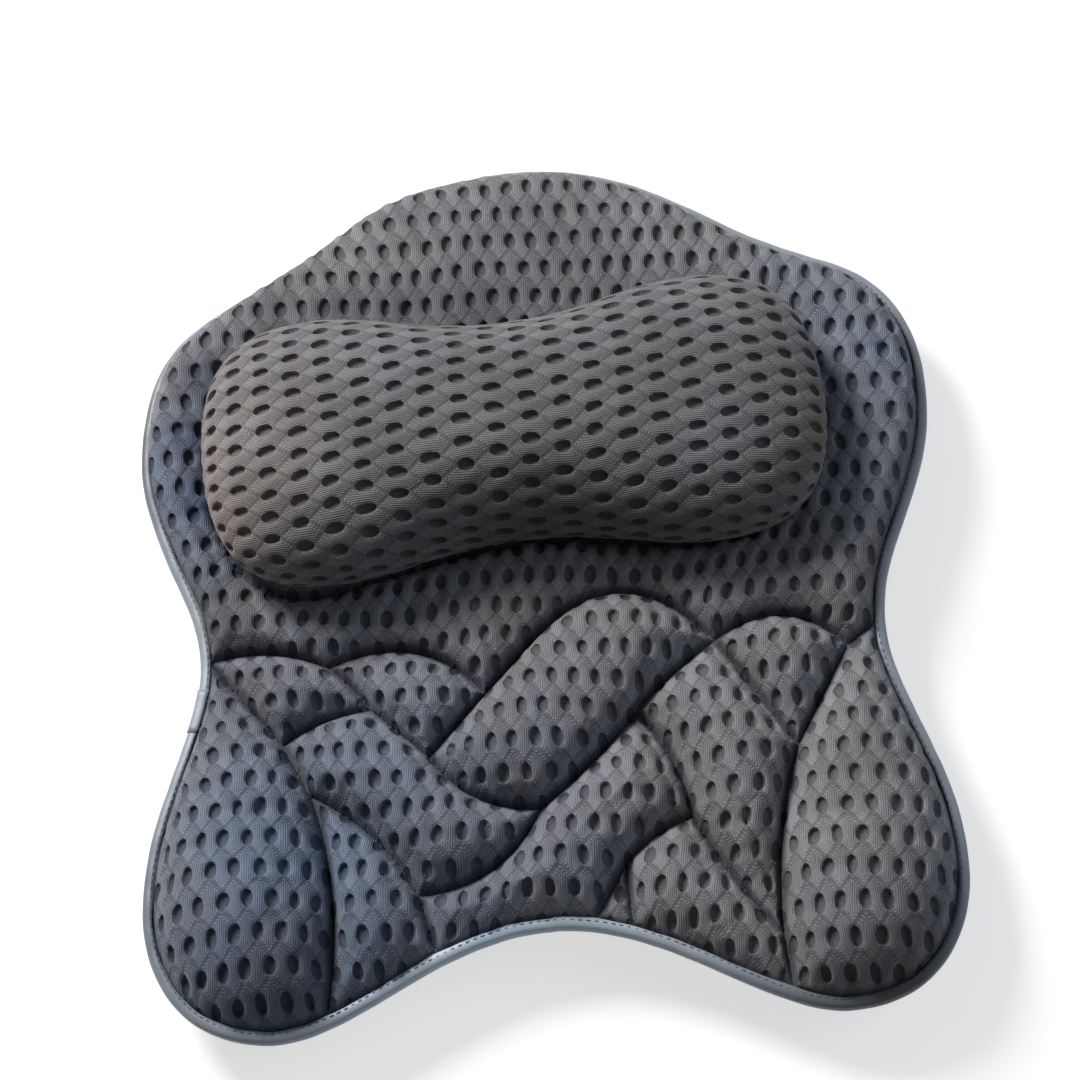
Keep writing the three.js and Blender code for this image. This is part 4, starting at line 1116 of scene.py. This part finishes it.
# Painted light and shade on the binding: a painted pool of light along the bottom, painted shade at the right lobe's
# foot and on the left shoulder, and bluish painted shade low on the left.
TAPE_PAINTED_SHADING = (((-0.030, -0.185, 0.026), 0.130, (1.85, 1.95, 2.02, 1)),
              ((0.138, -0.200, 0.026), 0.085, (0.30, 0.28, 0.26, 1)),
              ((-0.180, -0.140, 0.026), 0.075, (0.52, 0.57, 0.66, 1)),
              ((-0.178, 0.075, 0.026), 0.075, (0.34, 0.35, 0.37, 1)))
tree.links.new(with_patches_and_painted_shading(tree, paint, TAPE_PAINTED_SHADING), skin.inputs["Base Color"])
roughened(tree, skin, 0.35, 0.0003, ribs)
fitted(binding, "binding_tape", satin, node="edge_binding")

lap_at = int(nearest(bind_line, np.array((LAP_PLACE,)))[0][0])
lap = tape("binding_lap", [(lap_at + i) % len(bind_line) for i in range(LAP_STATIONS)], swell=LAP_SWELL)
fitted(lap, "binding_tape", satin)


# Sewing thread: grey polyester lockstitch along both lips of the binding and along every quilting seam.
# Each stitch is a short yarn that dips into the cloth at both ends.

STITCH_LONG, STITCH_PITCH, STITCH_SINK, THREAD_HALF = 0.0027, 0.0034, 0.0004, 0.00028
LIP_INSET = 0.0032  # how far the binding's stitches lie in from the edge


def stitches(name, spots, ways, up):
    """Copies of one stitch, laid along their ways at their spots."""
    bm = bmesh.new()
    bmesh.ops.create_uvsphere(bm, u_segments=6, v_segments=5, radius=1)
    bmesh.ops.rotate(bm, verts=bm.verts, matrix=Matrix.Rotation(math.pi / 2, 3, "Y"))
    piece = placed(name, bm)
    each = len(piece.data.vertices)
    copies = piece.modifiers.new("copies", "ARRAY")
    copies.count, copies.use_relative_offset = len(spots), False
    mesh = as_modified(piece)
    piece.modifiers.clear()
    piece.data = mesh
    yarn = numbers(mesh.vertices, "co", 3).reshape(len(spots), each, 3)
    way = ways / np.linalg.norm(ways, axis=1)[:, None]
    side = np.cross(np.broadcast_to(up, way.shape), way)
    sunk = yarn[:, :, :1] ** 2 * -STITCH_SINK
    laid = (spots[:, None] + yarn[:, :, :1] * way[:, None] * STITCH_LONG / 2
            + yarn[:, :, 1:2] * side[:, None] * THREAD_HALF + (yarn[:, :, 2:] * THREAD_HALF + sunk) * np.array(up))
    mesh.vertices.foreach_set("co", laid.ravel())
    mesh.update()
    return piece


thread, tree, skin = finish_named("grey_sewing_thread", 0.6, Sheen_Weight=0.2, Specular_IOR_Level=0.35)
twist = grainy(tree, 3200.0, 2.0)
tree.links.new(mixed(tree, twist, (0.075, 0.080, 0.090, 1), (0.140, 0.150, 0.168, 1)), skin.inputs["Base Color"])
roughened(tree, skin, 0.5, 0.0002, twist)

lip_line = evened(np.vstack((pad_edge, pad_edge[:1])), STITCH_PITCH)[:-1]
lip_out = outwards(lip_line)
lip_way = np.column_stack((-lip_out[:, 1], lip_out[:, 0], np.zeros(len(lip_line))))
for name, height, up in (("lip_stitches_front", 0.02965, 1), ("lip_stitches_back", 0.02240, -1)):
    spots = np.column_stack((lip_line - LIP_INSET * lip_out, np.full(len(lip_line), height)))
    fitted(stitches(name, spots, lip_way, (0, 0, up)), "binding_tape", thread)

spots, ways = [], []
for line in seam_lines:
    stops = evened(line, STITCH_PITCH)
    middles = (stops[1:] + stops[:-1]) / 2
    spots.append(np.column_stack((middles, on_plan(ground, middles) + 0.0001)))
    ways.append(np.column_stack((np.diff(stops, axis=0), np.zeros(len(middles)))))
quilting = stitches("quilting_stitches", np.vstack(spots), np.vstack(ways), (0, 0, 1))
fitted(quilting, "grey_mesh", thread)


# Suction cups: six discs of clear soft vinyl, each moulded in one piece with a neck, a button head and a pull tab.
# The head is pushed through its eyelet, so that the cup hangs under the back panel and turns freely.

CUP_PROFILE = (  # radius and height, from the hollow's middle out to the lip and back up to the head
    (0.0000, 0.0066), (0.0090, 0.0062), (0.0170, 0.0046), (0.0240, 0.0023), (0.0276, 0.0004), (0.0284, 0.0000),
    (0.0291, 0.0001), (0.0295, 0.0007), (0.0292, 0.0014), (0.0280, 0.0026), (0.0240, 0.0052), (0.0180, 0.0076),
    (0.0120, 0.0091), (0.0085, 0.0097), (0.0076, 0.0101), (0.0072, 0.0105), (0.0056, 0.0105), (0.0051, 0.0109),
    (0.0050, 0.0116), (0.0050, 0.0174), (0.0052, 0.0180), (0.0060, 0.0182), (0.0078, 0.0182), (0.0082, 0.0188),
    (0.0080, 0.0200), (0.0070, 0.0212), (0.0048, 0.0217), (0.0000, 0.0218),
)
vinyl, tree, skin = finish_named("clear_soft_vinyl", 0.16, IOR=1.53, Transmission_Weight=0.72, Specular_IOR_Level=0.5)
haze = grainy(tree, 180.0, 3.0)
tree.links.new(mixed(tree, haze, (0.78, 0.81, 0.83, 1), (0.90, 0.92, 0.93, 1)), skin.inputs["Base Color"])
tree.links.new(ranged(tree, haze, 0.3, 0.7, 0.12, 0.26).outputs[0], skin.inputs["Roughness"])
roughened(tree, skin, 0.12, 0.0004, haze)

TAB_ROOT, TAB_TIP, TAB_HALF, TAB_LOW, TAB_THICK = 0.0272, 0.0325, 0.0045, 0.0006, 0.0013
dish = turned("dish", CUP_PROFILE, (0, 0), around=72)
bm = bmesh.new()
tongue = bmesh.ops.create_circle(bm, cap_ends=True, segments=32, radius=TAB_HALF)["verts"]
for v in tongue:
    v.co = (TAB_TIP + v.co.x if v.co.x > -1e-6 else TAB_ROOT, v.co.y, TAB_LOW)
raised = bmesh.ops.extrude_face_region(bm, geom=bm.faces[:])["geom"]
bmesh.ops.translate(bm, verts=verts_in(raised), vec=(0, 0, TAB_THICK))
bmesh.ops.recalc_face_normals(bm, faces=bm.faces)
bmesh.ops.bevel(bm, geom=[e for e in bm.edges if abs(e.verts[0].co.z - e.verts[1].co.z) < 1e-6], offset=0.0004,
                offset_type="OFFSET", affect="EDGES", segments=3, profile=0.5, material=-1)
tongue = placed("tongue", bm)
moulded = dish.modifiers.new("moulded", "BOOLEAN")
moulded.operation, moulded.solver, moulded.object = "UNION", "EXACT", tongue
one_cup = as_modified(dish)
bpy.data.objects.remove(dish)
bpy.data.objects.remove(tongue)

for place in PLACES:
    body = "cup_" + place
    x, y, _ = cup_at[body]
    bm = bmesh.new()
    bm.from_mesh(one_cup)
    bmesh.ops.rotate(bm, verts=bm.verts, matrix=Matrix.Rotation(math.atan2(y, x), 3, "Z"))
    bmesh.ops.translate(bm, verts=bm.verts, vec=(x, y, 0))
    cup = placed(f"vinyl_cup_{place}", bm)
    cup.data.set_sharp_from_angle(angle=math.radians(50))
    fitted(cup, "soft_vinyl", vinyl, body=body, node="suction_cup_" + place)


# Floor, light and camera: a plain white sweep, one broad soft light from the upper left and a cool fill.
# The camera stands where the photograph was taken, above the pad's foot and a little to its right.

bm = bmesh.new()
bmesh.ops.create_grid(bm, x_segments=1, y_segments=1, size=3.0)
bmesh.ops.translate(bm, verts=bm.verts, vec=(0, 0, -0.0004))
floor = placed("floor", bm)
white, tree, skin = finish_named("white_floor", 0.9)
skin.inputs["Base Color"].default_value = (0.52, 0.52, 0.52, 1)
ray = add(tree, "LightPath")
seen = reckon(tree, "MAXIMUM", ray.outputs["Is Glossy Ray"], ray.outputs["Is Transmission Ray"])
seen = reckon(tree, "MAXIMUM", ray.outputs["Is Camera Ray"], seen)
glow = add(tree, "Emission", {"Color": (1, 1, 1, 1), "Strength": reckon(tree, "MULTIPLY", seen, 0.64)})
both = add(tree, "AddShader", {0: skin, 1: glow})
tree.links.new(both.outputs[0], tree.nodes["Material Output"].inputs["Surface"])
floor.data.materials.append(white)

world = bpy.data.worlds.new("studio")
bpy.context.scene.world = world
world.use_nodes = True
tree = world.node_tree
ray = add(tree, "LightPath").outputs["Is Camera Ray"]
tree.links.new(mixed(tree, ray, (0.93, 0.96, 1.0, 1), (1, 1, 1, 1)), tree.nodes["Background"].inputs["Color"])
tree.links.new(reckon(tree, "MAXIMUM", ray, 0.15).outputs[0], tree.nodes["Background"].inputs["Strength"])


def lamp(name, spot, size, power, colour):
    """A round soft light that faces the pillow."""
    light = bpy.data.lights.new(name, "AREA")
    light.shape, light.size, light.energy, light.color = "DISK", size, power, colour
    stand = bpy.data.objects.new(name, light)
    stand.location = spot
    stand.rotation_euler = (Vector((0, 0, 0.03)) - Vector(spot)).to_track_quat("-Z", "Y").to_euler()
    bpy.context.scene.collection.objects.link(stand)


lamp("upper_left_light", (-0.98, 1.08, 1.25), 0.7, 49, (1.0, 0.985, 0.96))
lamp("right_fill", (1.5, 0.1, 1.0), 1.2, 5.5, (0.72, 0.85, 1.0))

TURN, RISE, LEAN = math.radians(4.64), math.radians(65), math.radians(8.0)
AIM, AWAY = Vector((0.0014, 0.0171, 0.0241)), 1.350
back = Vector((math.sin(TURN) * math.cos(RISE), -math.cos(TURN) * math.cos(RISE), math.sin(RISE)))
right = Vector((math.cos(TURN), math.sin(TURN), 0))
up = back.cross(right)
across = math.cos(LEAN) * right - math.sin(LEAN) * up
upright = math.sin(LEAN) * right + math.cos(LEAN) * up
lens = bpy.data.cameras.new("camera")
lens.lens, lens.sensor_width = 100, 36
camera = bpy.data.objects.new("camera", lens)
camera.matrix_world = Matrix.Translation(AIM + back * AWAY) @ Matrix((across, upright, back)).transposed().to_4x4()
bpy.context.scene.collection.objects.link(camera)
bpy.context.scene.camera = camera
bpy.context.scene.view_settings.view_transform = "Standard"
